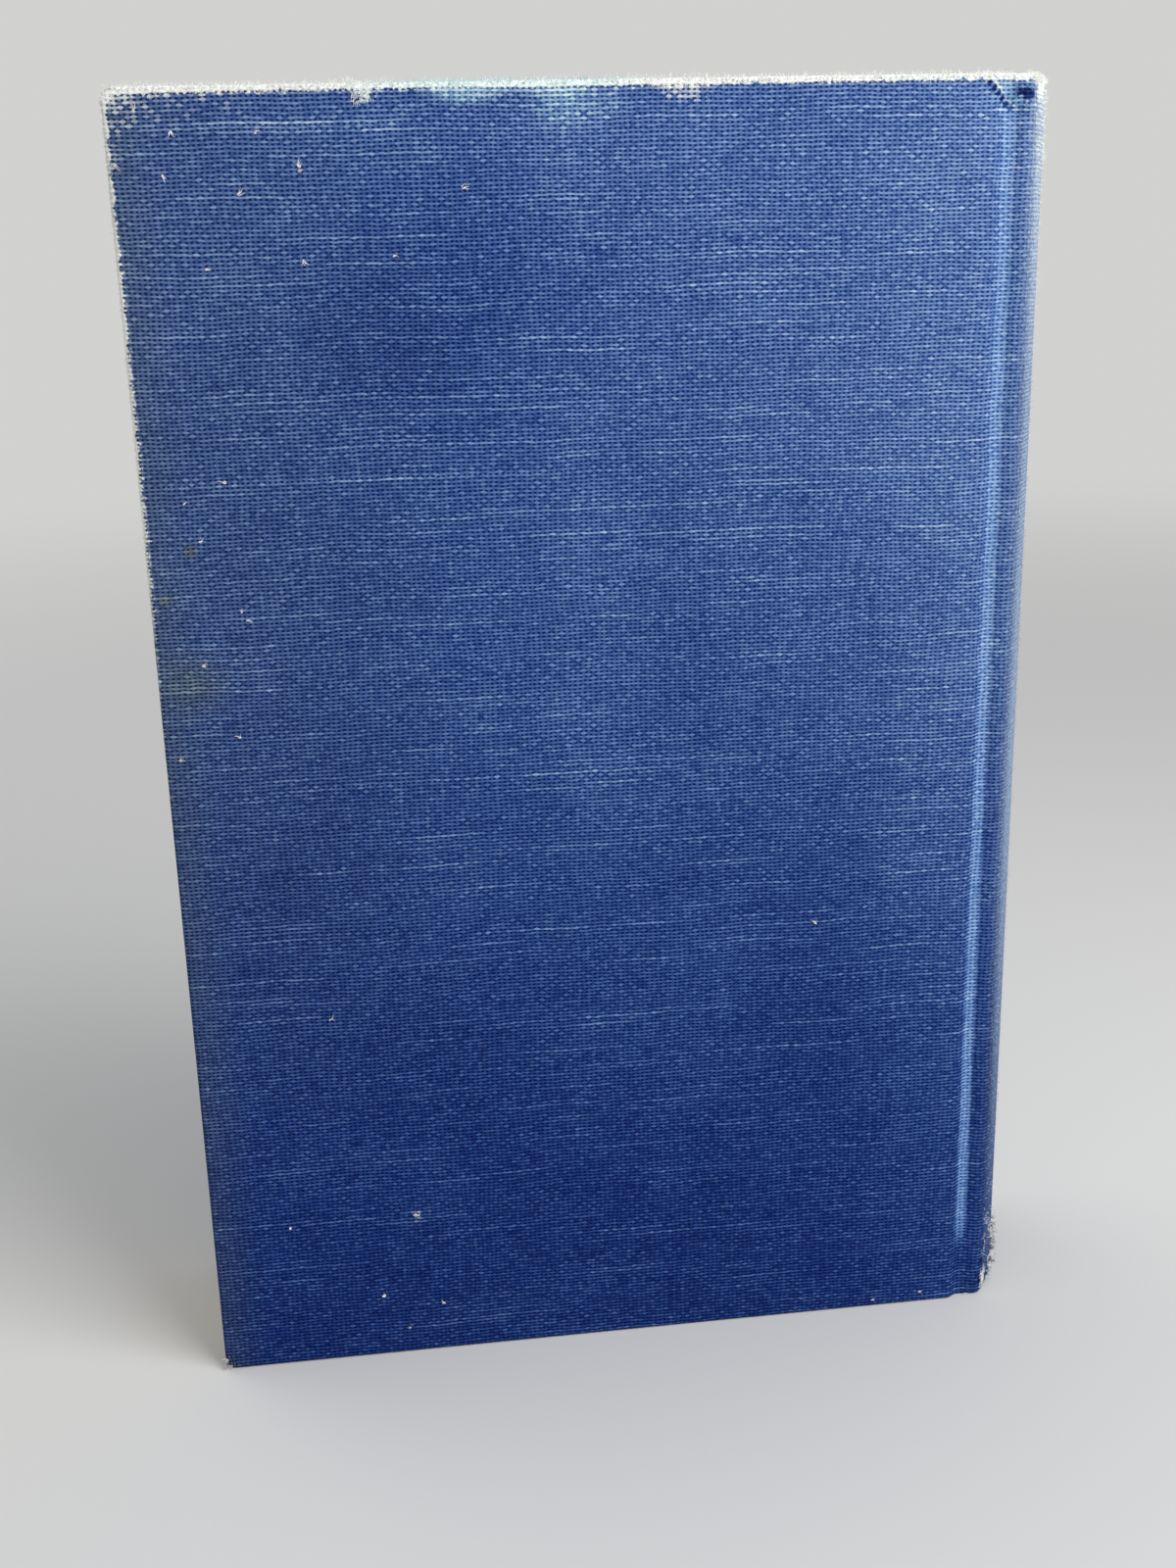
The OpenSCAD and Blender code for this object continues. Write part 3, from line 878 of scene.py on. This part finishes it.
# %% Helpers for materials
class Finish:
    """A material under construction: its nodes are added by short calls."""

    def __init__(self, name):
        self.material = bpy.data.materials.new(name)
        self.material.use_nodes = True
        self.tree = self.material.node_tree
        self.shader = self.tree.nodes["Principled BSDF"]

    def fill(self, socket, value):
        if isinstance(value, bpy.types.NodeSocket):
            self.tree.links.new(value, socket)
        elif isinstance(value, tuple) and len(value) == 3 and socket.type == "RGBA":
            socket.default_value = (*value, 1)
        else:
            socket.default_value = value

    def add(self, kind, *values, out=0, **settings):
        """Adds a node, fills its inputs in order (None leaves one as it is) and gives an output."""
        node = self.tree.nodes.new("ShaderNode" + kind)
        for name, value in settings.items():
            setattr(node, name, value)
        for socket, value in zip(node.inputs, values):
            if value is not None:
                self.fill(socket, value)
        return node.outputs[out]

    def math(self, operation, *values):
        return self.add("Math", *values, operation=operation)

    def times(self, *values):
        result = values[0]
        for value in values[1:]:
            result = self.math("MULTIPLY", result, value)
        return result

    def plus(self, *values):
        result = values[0]
        for value in values[1:]:
            result = self.math("ADD", result, value)
        return result

    def step(self, value, start, stop, low=0.0, high=1.0):
        """Rises smoothly from low to high as the value goes from start to stop."""
        return self.add("MapRange", value, start, stop, low, high, interpolation_type="SMOOTHSTEP")

    def band(self, value, start, rise, fall, stop):
        """Is 1 between rise and fall, and 0 before start and after stop."""
        return self.times(self.step(value, start, rise), self.step(value, fall, stop, 1.0, 0.0))

    def sway(self, noise, size):
        """Noise about 0.5 turned into a swing about 0."""
        return self.math("MULTIPLY_ADD", noise, size, -size / 2)

    def spot(self, place, x, y, reach_x, reach_y, full=0.0):
        """Is 1 at (x, y), as far as the share full of its reach, and falls to 0 at its reach."""
        off = self.add("VectorMath", place, (x, y, 0.0), operation="SUBTRACT")
        off = self.add("VectorMath", off, (1 / reach_x, 1 / reach_y, 0.0), operation="MULTIPLY")
        return self.step(self.add("VectorMath", off, operation="LENGTH", out=1), 1.0, full)

    def ramp(self, value, *stops):
        """A colour that runs evenly through the stops as the value goes from 0 to 1."""
        node = self.tree.nodes.new("ShaderNodeValToRGB")
        row = node.color_ramp.elements
        row[0].color, row[1].color = (*stops[0], 1), (*stops[-1], 1)
        for i, stop in enumerate(stops[1:-1], 1):
            row.new(i / (len(stops) - 1)).color = (*stop, 1)
        self.fill(node.inputs[0], value)
        return node.outputs[0]

    def parts(self, place):
        """The three numbers of a place."""
        node = self.tree.nodes.new("ShaderNodeSeparateXYZ")
        self.fill(node.inputs[0], place)
        return node.outputs[:3]

    def mix(self, share, first, second):
        """Mixes two colours."""
        node = self.tree.nodes.new("ShaderNodeMix")
        node.data_type = "RGBA"
        for socket, value in ((node.inputs[0], share), (node.inputs[6], first), (node.inputs[7], second)):
            self.fill(socket, value)
        return node.outputs[2]

    def noise(self, place, scale, detail=2.0, roughness=0.5, stretch=None):
        """Soft noise about 0.5. A larger scale is finer, and stretch scales the place first."""
        if stretch:
            place = self.add("VectorMath", place, stretch, operation="MULTIPLY")
        return self.add("TexNoise", place, None, scale, detail, roughness)

    def bump(self, height, depth):
        """Raises the surface by height times depth, in metres."""
        node = self.tree.nodes.new("ShaderNodeBump")
        node.inputs["Distance"].default_value = depth
        self.fill(node.inputs["Height"], height)
        self.fill(self.shader.inputs["Normal"], node.outputs[0])

    def surface(self, colour, roughness, **sockets):
        self.fill(self.shader.inputs["Base Color"], colour)
        self.fill(self.shader.inputs["Roughness"], roughness)
        for name, value in sockets.items():
            self.fill(self.shader.inputs[name.replace("_", " ")], value)
        return self.material


def shade(red, green, blue):
    """A colour as a paint program gives it, from 0 to 255, as the linear value that light needs."""
    levels = [level / 255 for level in (red, green, blue)]
    return tuple(((c + 0.055) / 1.055) ** 2.4 if c > 0.04045 else c / 12.92 for c in levels)


# %% [markdown]
# ## The woven cloth's finish
#
# Book cloth is a plain weave: weft threads run across the cover, warp threads run up it, and each
# passes over and under the next. Seen close, the weft makes bright rows, the warp makes fainter
# columns between them, and where two rows and two columns leave a gap there is a dark hole. One
# wave across and one up give the rows and columns, and a wave of twice the length gives which
# thread lies on top. Slow noise bends the rows a little, and each crossing and each row has its
# own brightness, because no two threads take the dye alike.

# %% Threads of the cloth
warp_pitch, weft_pitch = 0.722, 0.572
weave_depth = 0.00009


def threads(f, place, across, height):
    """The weave's lightness, from 0 in a hole to 1 on a crown, its relief, and each crossing's own shade."""
    other = f.add("VectorMath", place, (57.0, 31.0, 9.0), operation="ADD")
    bend = f.plus(f.sway(f.noise(place, 0.05, 2.0), 2.0), f.sway(f.noise(place, 0.8, 1.0), 0.55))
    lean = f.plus(f.sway(f.noise(other, 0.06, 2.0), 2.4), f.sway(f.noise(other, 0.7, 1.0), 0.6))
    row = f.math("MULTIPLY_ADD", height, 1 / weft_pitch, bend)
    column = f.math("MULTIPLY_ADD", across, 1 / warp_pitch, lean)
    weft = f.math("COSINE", f.times(row, 2 * math.pi))
    warp = f.math("COSINE", f.times(column, 2 * math.pi))
    over = f.times(f.math("COSINE", f.times(row, math.pi)), f.math("COSINE", f.times(column, math.pi)))

    row_number, column_number = f.math("ROUND", row), f.math("ROUND", column)
    along_row = f.add("CombineXYZ", f.times(across, 0.04), f.times(row_number, 7.31), 0.0)
    slub = f.step(f.noise(along_row, 1.0, 1.0), 0.55, 0.72)
    crossing = f.add("CombineXYZ", f.times(column_number, 3.7), f.times(row_number, 9.1), 5.0)
    own = f.sway(f.noise(crossing, 1.0, 0.0), 0.6)

    # Bright crowns and dark holes: partly the dye, partly painted light and shade of the weave's relief
    crown = f.step(f.plus(weft, f.times(over, 0.25)), -0.75, 0.6)
    thread = f.step(f.plus(warp, f.times(over, -0.12)), -0.7, 0.5)
    weft_light = f.times(crown, f.plus(f.times(over, 0.05), f.times(slub, 0.2), own, 0.67))
    light = f.math("MAXIMUM", weft_light, f.times(thread, f.plus(f.times(own, 0.6), 0.48)))
    relief = f.math("MAXIMUM", f.times(crown, f.plus(f.times(over, 0.3), 0.7)), f.times(thread, 0.5))
    return light, relief, own


# %% [markdown]
# ### Fading, painted light and marks of use
#
# The dye lies between a deep navy and a washed pale blue, and one ramp of colours holds them all.
# A hole in the weave, a shaded corner and an unfaded patch all move down the ramp, and a crown,
# a slub and the paler head of the cover all move up it. The cover is paler towards the upper right,
# partly by fading and partly by painted light and sheen from the lamp there. The marks are then
# drawn by their places on the cover, in millimetres from its fore edge and tail, as they would be
# noted on a condition report: the head rubbed to bare cotton, a bleached tide mark, a pale line
# along the joint, the worn shoulder of the spine, stains by the fore edge and frayed corners. The
# painted shade of a crease at the head of the spine and of its dents and hollows, and the painted
# highlight along the crease, are placed the same way.

# %% Colours of the cloth
dye = (
    shade(0, 8, 56), shade(4, 30, 96), shade(32, 65, 134), shade(78, 110, 170),
    shade(130, 160, 206), shade(192, 210, 234),
)
bleached = (shade(32, 66, 124), shade(86, 126, 172), shade(140, 176, 204), shade(214, 234, 236))
cotton = (shade(136, 152, 170), shade(204, 212, 216), shade(236, 237, 230), shade(246, 247, 242))
worn = (shade(36, 54, 98), shade(98, 120, 160), shade(162, 180, 202), shade(234, 237, 234))
stained = (shade(20, 30, 40), shade(86, 98, 88), shade(140, 146, 120))
rubbed_joint = (shade(36, 76, 150), shade(96, 142, 206), shade(160, 200, 244))
fade_and_light_share = 0.34

# Soft darker and lighter places of the cover: where, how far, and how much lighter
clouds = (
    (38, 158, 20, 26, -0.2), (94, 76, 16, 30, -0.08), (46, 172, 12, 12, -0.08), (16, 84, 14, 30, -0.08),
    (60, 186, 14, 14, 0.14), (108, 178, 18, 16, 0.1), (62, 112, 12, 60, 0.1), (84, 130, 10, 40, 0.06),
    (6, 165, 16, 45, 0.07), (64, 76, 70, 30, 0.03),
)
# Light weft threads that run a long way: height, start and end
long_threads = (
    (185.2, 1, 42), (184.3, 12, 46), (174.1, 1, 12), (139.2, 0, 58), (143.5, 24, 64), (95.4, 20, 60),
)
# Rubbed places where the bare cotton shows: where, how far, and how much
rubs = (
    (0.3, 189.6, 2.6, 2.4, 1.0), (0, 0.2, 1.6, 1.8, 1.0), (33.4, 188.5, 2.2, 1.3, 0.75),
    (75.5, 188.8, 6.5, 2.6, 0.45), (31.4, 24.6, 0.9, 1.8, 0.45), (126.9, 189.2, 3.6, 3.6, 1.0),
    (125.2, 2.6, 2.0, 3.6, 0.9), (125.0, 9.0, 1.2, 4.5, 0.45), (29.3, 4.6, 0.5, 0.7, 0.5),
)
# Where the dye has washed out, with a tinge of turquoise left
bleaches = (
    (49.0, 190.2, 19.0, 3.6, 1.0), (59.4, 187.0, 6.4, 5.6, 1.0), (46.0, 188.0, 8.0, 2.8, 0.6),
    (65.5, 186.8, 4.5, 4.0, 0.6), (37.6, 185.8, 3.0, 4.2, 0.4), (119.8, 188.0, 4.2, 3.4, 0.9),
    (121.6, 185.4, 3.0, 3.2, 0.7), (117.2, 184.6, 3.4, 3.4, 0.4),
)
# Brown stains by the fore edge
stains = ((6.1, 130.4, 1.5, 1.6, 0.75), (2.1, 123.7, 1.6, 1.0, 0.75), (5.0, 111.6, 7.0, 6.5, 0.4))
# Painted shade in hollows: the dent at the head, and beside the frayed cloth at the tail
shaded_hollows = (
    (123.0, 187.3, 1.6, 1.3, 1.0), (121.7, 187.7, 1.2, 0.9, 0.5), (122.6, 185.2, 1.4, 1.1, 0.45),
    (124.2, 6.0, 0.7, 1.1, 0.7), (124.0, 2.9, 0.7, 1.5, 0.7), (124.8, 9.4, 0.7, 1.8, 0.6),
)


# %% Marks on the back cover
def all_of(f, spots, where, full=0.0):
    """The sum of a row of spots, each as strong as its last number says."""
    return f.plus(*(f.times(f.spot(where, *spot[:4], full), spot[4]) for spot in spots))


def marked_colour(f, place, across, height, light, own, fade_and_painted_light, tone):
    """The cloth's colour with the marks of use that the photograph shows and a crease's painted shade and
    highlight, first to last.
    """
    wander_x, wander_y = (f.sway(f.noise(place, scale, 3.0, 0.7), 2.2) for scale in (1.3, 1.9))
    ragged = f.add("VectorMath", place, f.add("CombineXYZ", wander_x, wander_y, 0.0), operation="ADD")
    ragged_across, ragged_height, _ = f.parts(ragged)
    tone = f.plus(tone, f.times(f.plus(fade_and_painted_light, all_of(f, clouds, place)), fade_and_light_share))
    for level, begin, end in long_threads:
        thread = f.band(height, level - 0.3, level - 0.1, level + 0.1, level + 0.3)
        stretch = f.band(across, begin - 3.0, begin + 3.0, end - 8.0, end + 4.0)
        tone = f.plus(tone, f.times(thread, stretch, light, 0.2))

    # A pale line along the groove of the joint, a little nearer to the spine at the head
    along_joint = f.math("SUBTRACT", across, f.step(height, 60.0, 165.0, 0.0, 0.4))
    joint_line = f.band(along_joint, 118.95, 119.85, 120.65, 121.45)
    joint_line = f.times(joint_line, f.band(height, 8.0, 15.0, 183.0, 188.0))
    tone = f.plus(tone, f.times(joint_line, f.step(height, 20.0, 165.0, 0.34, 0.18)))

    # Painted shade: the crease across the corner at the head of the spine, and the dark dents
    down = f.math("ADD", across, height)
    sideways = f.math("SUBTRACT", across, height)
    within = f.band(sideways, -72.3, -71.6, -64.8, -64.0)
    ripple = f.math("COSINE", f.times(sideways, 2 * math.pi / 1.35))
    dots = f.step(f.plus(ripple, f.sway(f.noise(place, 1.1, 3.0, 0.7), 3.0)), -1.0, 0.8)
    crease_shade = f.times(f.band(down, 305.1, 305.8, 306.3, 307.0), within, dots)
    # dark holds the painted shade: it darkens the dye and keeps the pale marks off it
    dark = f.plus(crease_shade, all_of(f, shaded_hollows, ragged, 0.3))
    colour = f.ramp(f.plus(tone, f.times(dark, -0.5)), *dye)
    colour = f.mix(f.times(joint_line, 0.5), colour, f.ramp(light, *rubbed_joint))

    # Browned by handling, mostly towards the fore edge, and then bleached at the head
    brown = f.ramp(light, *stained)
    handled = f.times(f.step(across, 55.0, 0.0, 0.05, 0.2), f.step(height, 15.0, 130.0))
    colour = f.mix(f.plus(handled, f.step(across, 8.0, 0.0, 0.0, 0.2)), colour, brown)
    colour = f.mix(all_of(f, stains, ragged), colour, brown)
    bleach = f.step(f.plus(f.times(all_of(f, bleaches, ragged), 0.85), own), 0.2, 0.9)
    washed = f.ramp(f.plus(light, f.step(height, 186.5, 189.5, -0.04, 0.2)), *bleached)
    colour = f.mix(f.times(bleach, f.step(dark, 0.7, 0.2)), colour, washed)

    # The shoulder of the spine: worn pale, and speckled where the nap has risen
    wear = f.times(f.band(ragged_across, 122.5, 124.4, 133.0, 138.0), f.step(height, 2.0, 40.0, 0.3, 0.95))
    wear = f.times(wear, f.step(dark, 0.8, 0.3))
    paleness = f.plus(
        f.times(light, 0.35), f.sway(f.noise(place, 1.5, 2.0, 0.75), 0.9),
        f.step(across, 122.6, 127.5, 0.05, 0.35), f.step(height, 20.0, 90.0, -0.28, 0.0),
        f.step(height, 140.0, 188.0, 0.03, 0.18),
    )
    colour = f.mix(wear, colour, f.ramp(paleness, *worn))

    # Rubbed to bare cotton at the head, fore edge and corners, dusty beside them, and a painted highlight on
    # the crease
    head = f.plus(f.band(ragged_height, 188.7, 189.7, 190.8, 191.8),
                  f.band(ragged_height, 192.2, 193.0, 193.8, 194.6))
    fore = f.times(f.band(ragged_across, -1.2, -0.5, 0.2, 0.9), f.step(height, 95.0, 150.0))
    shoulder = f.times(f.band(ragged_across, 123.4, 125.6, 131.0, 135.0),
                       f.step(height, 165.0, 189.0, 0.0, 0.4))
    # A painted highlight along the upper side of the crease, drawn as pale cotton
    crease_highlight = f.times(f.band(down, 306.4, 306.8, 307.0, 307.5), within, 0.5)
    dusty = f.plus(
        f.times(f.spot(ragged, 0.0, 190.0, 26.0, 13.0), 0.24), f.step(height, 183.5, 189.5, 0.0, 0.1),
        f.times(f.step(across, 4.5, 0.0), f.step(height, 90.0, 160.0), 0.15),
    )
    bare = f.plus(head, fore, shoulder, crease_highlight, dusty, all_of(f, rubs, ragged))
    thread_by_thread = f.times(f.plus(f.times(own, 1.5), f.sway(light, 0.5)), f.step(bare, 0.0, 0.3))
    rubbed = f.times(f.step(f.plus(bare, thread_by_thread), 0.15, 0.8), f.step(dark, 0.9, 0.1))
    white = f.ramp(f.plus(f.times(light, 0.6), f.step(bare, 0.3, 1.0, 0.0, 0.45)), *cotton)
    turquoise = f.times(f.band(across, 26.0, 38.0, 62.0, 74.0), 0.45)
    return f.mix(rubbed, colour, f.mix(turquoise, white, shade(222, 246, 244)))


# %% Cloth finish
def cloth_finish(name, marked):
    """Blue book cloth, paled by fading and painted light, with the marks of use or without them."""
    f = Finish(name)
    place = f.add("UVMap", uv_map="weave")
    across, height, _ = f.parts(place)
    light, relief, own = threads(f, place, across, height)
    # Paler up and across the cover: partly fading, partly painted light and sheen from the upper right
    fade_and_painted_light = f.plus(
        f.times(f.step(height, 4.0, 145.0), f.step(across, 25.0, 122.0, 0.5, 0.78)),
        f.step(across, 96.0, 121.0, 0.0, 0.14),
        f.step(height, 150.0, 190.0, 0.0, 0.1),
        f.sway(f.noise(place, 0.03, 4.0, 0.6), 0.5),
        f.sway(f.noise(place, 0.16, 2.0, 0.65), 0.3),
    )
    tone = f.plus(f.times(light, 0.7), f.sway(f.noise(place, 1.6, 1.0, 0.7), 0.2), -0.06)
    if marked:
        colour = marked_colour(f, place, across, height, light, own, fade_and_painted_light, tone)
    else:
        colour = f.ramp(f.plus(f.times(fade_and_painted_light, fade_and_light_share), tone), *dye)
    f.bump(relief, weave_depth)
    return f.surface(colour, 0.85, Specular_IOR_Level=0.1)


cover_cloth = cloth_finish("book_cloth_back", marked=True)
plain_cloth = cloth_finish("book_cloth_front", marked=False)
print("nodes in the cloth's finish:", len(cover_cloth.node_tree.nodes))

# %% [markdown]
# ## Paper, board and linings
#
# Uncoated paper isn't one colour: it is clouded where the pulp was thicker, it browns from its
# edges inwards, and damp leaves small brown spots on it, which book people call foxing. Noise at
# three sizes gives these. The edges of the leaves get a shade of their own each, counted from the
# place across the block, and they are dusty at the head. The inner linings are seen only when the
# book is open or from above, but each has what it is made of: pulp, kraft fibres or open gauze.

# %% Paper finishes
def in_millimetres(f):
    """The place on the book in millimetres, with x counted from the fore edge."""
    place = f.add("TexCoord", out=3)
    return f.add("VectorMath", place, (1 / MM,) * 3, (-case_left, 0, 0), operation="MULTIPLY_ADD")


def foxing(f, place):
    """Small brown spots, in loose groups."""
    spots = f.step(f.noise(place, 0.35, 3.0, 0.6), 0.66, 0.78)
    return f.times(spots, f.step(f.noise(place, 0.03, 1.0), 0.45, 0.6))


def endpaper_finish():
    f = Finish("endpaper")
    place = in_millimetres(f)
    x, _, z = f.parts(place)
    from_head = f.math("SUBTRACT", case_h - square, z)
    inside = f.math("MINIMUM", f.math("MINIMUM", from_head, f.plus(z, -square)), f.plus(x, -square))
    pulp = f.plus(f.times(f.noise(place, 0.04, 4.0, 0.6), 0.7), f.times(f.noise(place, 2.2, 3.0, 0.7), 0.3))
    colour = f.ramp(pulp, shade(206, 190, 158), shade(224, 211, 184), shade(234, 223, 200))
    browned = f.step(f.plus(inside, f.sway(f.noise(place, 0.08, 3.0), 14.0)), 20.0, -3.0)
    colour = f.mix(f.times(browned, 0.6), colour, shade(196, 168, 124))
    colour = f.mix(f.times(foxing(f, place), 0.7), colour, shade(160, 114, 68))
    f.bump(f.noise(place, 3.0, 4.0, 0.7), 0.00003)
    return f.surface(colour, 0.9, Specular_IOR_Level=0.2)


def leaves_finish():
    f = Finish("leaf_edges")
    place = in_millimetres(f)
    _, y, z = f.parts(place)
    leaf = f.math("ROUND", f.times(y, sections * leaves_each / (2 * leaf_y)))
    own = f.noise(f.add("CombineXYZ", f.times(leaf, 3.7), 2.0, 5.0), 1.0, 0.0)
    streaks = f.noise(place, 1.0, 3.0, 0.6, stretch=(0.12, 6.0, 0.12))
    tone = f.plus(f.times(own, 0.6), f.times(streaks, 0.5), f.sway(f.noise(place, 0.05, 3.0), 0.3), -0.05)
    cream = (shade(170, 146, 104), shade(206, 186, 146), shade(224, 208, 174), shade(234, 222, 196))
    colour = f.ramp(tone, *cream)
    dusty = f.times(f.step(z, top_z - 1.5, top_z), f.noise(place, 0.3, 4.0, 0.7), 0.8)
    colour = f.mix(dusty, colour, shade(138, 124, 102))
    colour = f.mix(f.times(foxing(f, place), 0.6), colour, shade(150, 108, 66))
    f.bump(streaks, 0.00004)
    return f.surface(colour, 0.9, Specular_IOR_Level=0.15)


def pulp_finish(name, dark, light, grain, depth):
    """Board, card or kraft paper: pulp with fibres of its own colour, lying mostly one way."""
    f = Finish(name)
    place = in_millimetres(f)
    fibres = f.noise(place, grain, 4.0, 0.75, stretch=(1.0, 1.0, 0.35))
    flecks = f.step(f.noise(place, grain * 2.5, 2.0, 0.7), 0.68, 0.74)
    clouds = f.noise(place, 0.06, 3.0)
    colour = f.ramp(f.plus(f.times(fibres, 0.7), f.times(clouds, 0.5), -0.1), dark, light)
    colour = f.mix(f.times(flecks, 0.5), colour, dark)
    f.bump(fibres, depth)
    return f.surface(colour, 0.92, Specular_IOR_Level=0.15)


mull_pitch = 1.1


def mull_finish():
    """Open starched gauze, with the glue showing in its holes."""
    f = Finish("mull")
    place = in_millimetres(f)
    x, y, z = f.parts(place)
    wander = f.sway(f.noise(place, 0.4, 2.0), 0.8)
    up = f.math("COSINE", f.times(f.plus(x, y, wander), 2 * math.pi / mull_pitch))
    across = f.math("COSINE", f.times(f.plus(z, wander), 2 * math.pi / mull_pitch))
    thread = f.step(f.math("MAXIMUM", up, across), 0.2, 0.8)
    cotton_colour = f.ramp(f.noise(place, 3.0, 3.0), shade(196, 186, 160), shade(226, 218, 196))
    colour = f.mix(thread, shade(150, 126, 88), cotton_colour)
    f.bump(thread, 0.00012)
    return f.surface(colour, 0.9, Specular_IOR_Level=0.15)


# %% Cotton finishes
def headband_finish():
    """Cotton wound round the bead, a little soiled, with a woven tape below."""
    f = Finish("headband")
    place = in_millimetres(f)
    x, y, z = f.parts(place)
    turn = f.math("ARCTAN2", y, f.plus(x, -spine_x))
    winding = f.math("COSINE", f.times(turn, math.pi * windings / band_angle))
    weave = f.math("COSINE", f.times(z, 2 * math.pi / 0.5))
    thread = f.times(f.step(winding, -1.0, 0.6), f.step(weave, -1.0, 0.2, 0.8, 1.0))
    thread = f.plus(f.times(thread, 0.7), f.times(f.noise(place, 1.2, 3.0), 0.3))
    colour = f.ramp(thread, shade(120, 112, 94), shade(196, 188, 168), shade(228, 222, 206))
    f.bump(thread, 0.0001)
    return f.surface(colour, 0.85, Specular_IOR_Level=0.2)


def nap_finish():
    """Undyed cotton: whitest at the head, tinted where dye bled, soiled at the fore edge, painted shade in
    the tail's tufts.
    """
    f = Finish("frayed_cotton")
    place = in_millimetres(f)
    x, _, z = f.parts(place)
    own = f.noise(place, 1.7, 2.0, 0.7)
    colour = f.ramp(own, shade(226, 230, 226), shade(246, 247, 242), shade(254, 254, 250))
    tinted = f.times(f.band(x, 31.0, 40.0, 62.0, 72.0), f.step(z, 184.0, 188.0), 0.75)
    colour = f.mix(tinted, colour, shade(196, 230, 234))
    soiled = f.times(f.step(x, 6.0, 0.0), f.step(z, 189.0, 170.0, 0.15, 0.6))
    colour = f.mix(soiled, colour, shade(168, 176, 168))
    lower = f.times(f.step(x, 121.0, 124.0), f.step(z, 182.0, 120.0), f.step(z, 12.0, 30.0), 0.6)
    colour = f.mix(lower, colour, shade(128, 148, 180))
    # Painted shade between the fibres of the tufts at the tail
    tuft_shade = f.times(f.step(z, 14.0, 8.0), f.step(f.noise(place, 0.9, 2.0, 0.6), 0.54, 0.44))
    colour = f.mix(tuft_shade, colour, shade(70, 84, 104))
    return f.surface(colour, 0.9, Specular_IOR_Level=0.1)


endpaper, leaf_edges = endpaper_finish(), leaves_finish()
cotton_band, nap = headband_finish(), nap_finish()
inner = {
    "back_flyleaf": endpaper,
    "front_flyleaf": endpaper,
    "spine_mull": mull_finish(),
    "spine_lining": pulp_finish("kraft_lining", shade(132, 98, 62), shade(192, 156, 112), 2.0, 0.00003),
    "spine_inlay": pulp_finish("spine_card", shade(146, 122, 92), shade(192, 168, 132), 1.6, 0.00003),
    "back_board": pulp_finish("binders_board", shade(118, 106, 88), shade(178, 160, 134), 0.9, 0.00006),
}
inner["front_board"] = inner["back_board"]
inner["back_mull_flange"] = inner["front_mull_flange"] = inner["spine_mull"]
print("materials:", len(bpy.data.materials))

# %% [markdown]
# ## Dressing and joining
#
# The finished pieces get their materials and are brought to their places. Each then stands for the
# plain solid that it replaces. The nap of the back cover moves with the back cover, and the spine's
# cloth and nap, the block and the headbands move with the block. The cloth and the pasted paper of
# a cover go round the joint, but they stay where they are and follow neither body. The cloth lies
# further out than the paper, so the middle of its strip across the joint is a little nearer to the
# spine.

# %% Dress the pieces
def dress(piece, material):
    piece.data.materials.clear()
    piece.data.materials.append(material)


for piece, material in (
    (cloth, cover_cloth), (spine, cover_cloth), (paper, endpaper), (block, leaf_edges),
    (band, cotton_band), (tail_band, cotton_band), (cover_nap, nap), (spine_nap, nap),
):
    dress(piece, material)
    to_place(piece)
front_cloth = mirrored(cloth, "front_cover_cloth", "y")
dress(front_cloth, plain_cloth)
front_paper = mirrored(paper, "front_cover_paper", "y")
for name, material in inner.items():
    for material_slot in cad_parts[name].material_slots:
        material_slot.material = material

# %% Join the pieces to the book
for piece, slot, nodes in (
    (cloth, "cover_cloth", ["back_cloth"]), (front_cloth, "cover_cloth", ["front_cloth"]),
    (spine, "cover_cloth", ["spine_cloth"]), (cover_nap, "cover_cloth", []),
    (spine_nap, "cover_cloth", []), (paper, "endpaper", ["back_pastedown"]),
    (front_paper, "endpaper", ["front_pastedown"]), (block, "leaves", ["text_block"]),
    (band, "headband", ["head_band"]), (tail_band, "headband", ["tail_band"]),
):
    if nodes:
        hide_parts(*nodes)

cloth_strip, paper_strip = (118.3, 120.8), (118.65, hinge_x)
for piece, cover, side, strip in (
    (cloth, "back_cover", -face_y, cloth_strip), (front_cloth, "front_cover", face_y, cloth_strip),
    (paper, "back_cover", -face_y, paper_strip), (front_paper, "front_cover", face_y, paper_strip),
):
    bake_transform(piece)
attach(cover_nap, "back_cover")
for piece in (spine, spine_nap, block, band, tail_band):
    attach(piece, "book_block")

# %% Flat sizes of the cloth
around = cover_t + turn_in
flat_cover = (around + seam.x, case_h + 2 * around)
mitred = (2 * around - 2 * corner_r) ** 2
flat_spine = (case_w - 2 * seam.x, case_h + 2 * turn_in)
for piece, flat, lost, rest in (
    (cloth, flat_cover, mitred, "back_board"), (front_cloth, flat_cover, mitred, "front_board"),
    (spine, flat_spine, 0, "spine_inlay"),
):
    print(piece.name, "was cut to", round(flat[0], 1), "x", round(flat[1], 1), "mm")
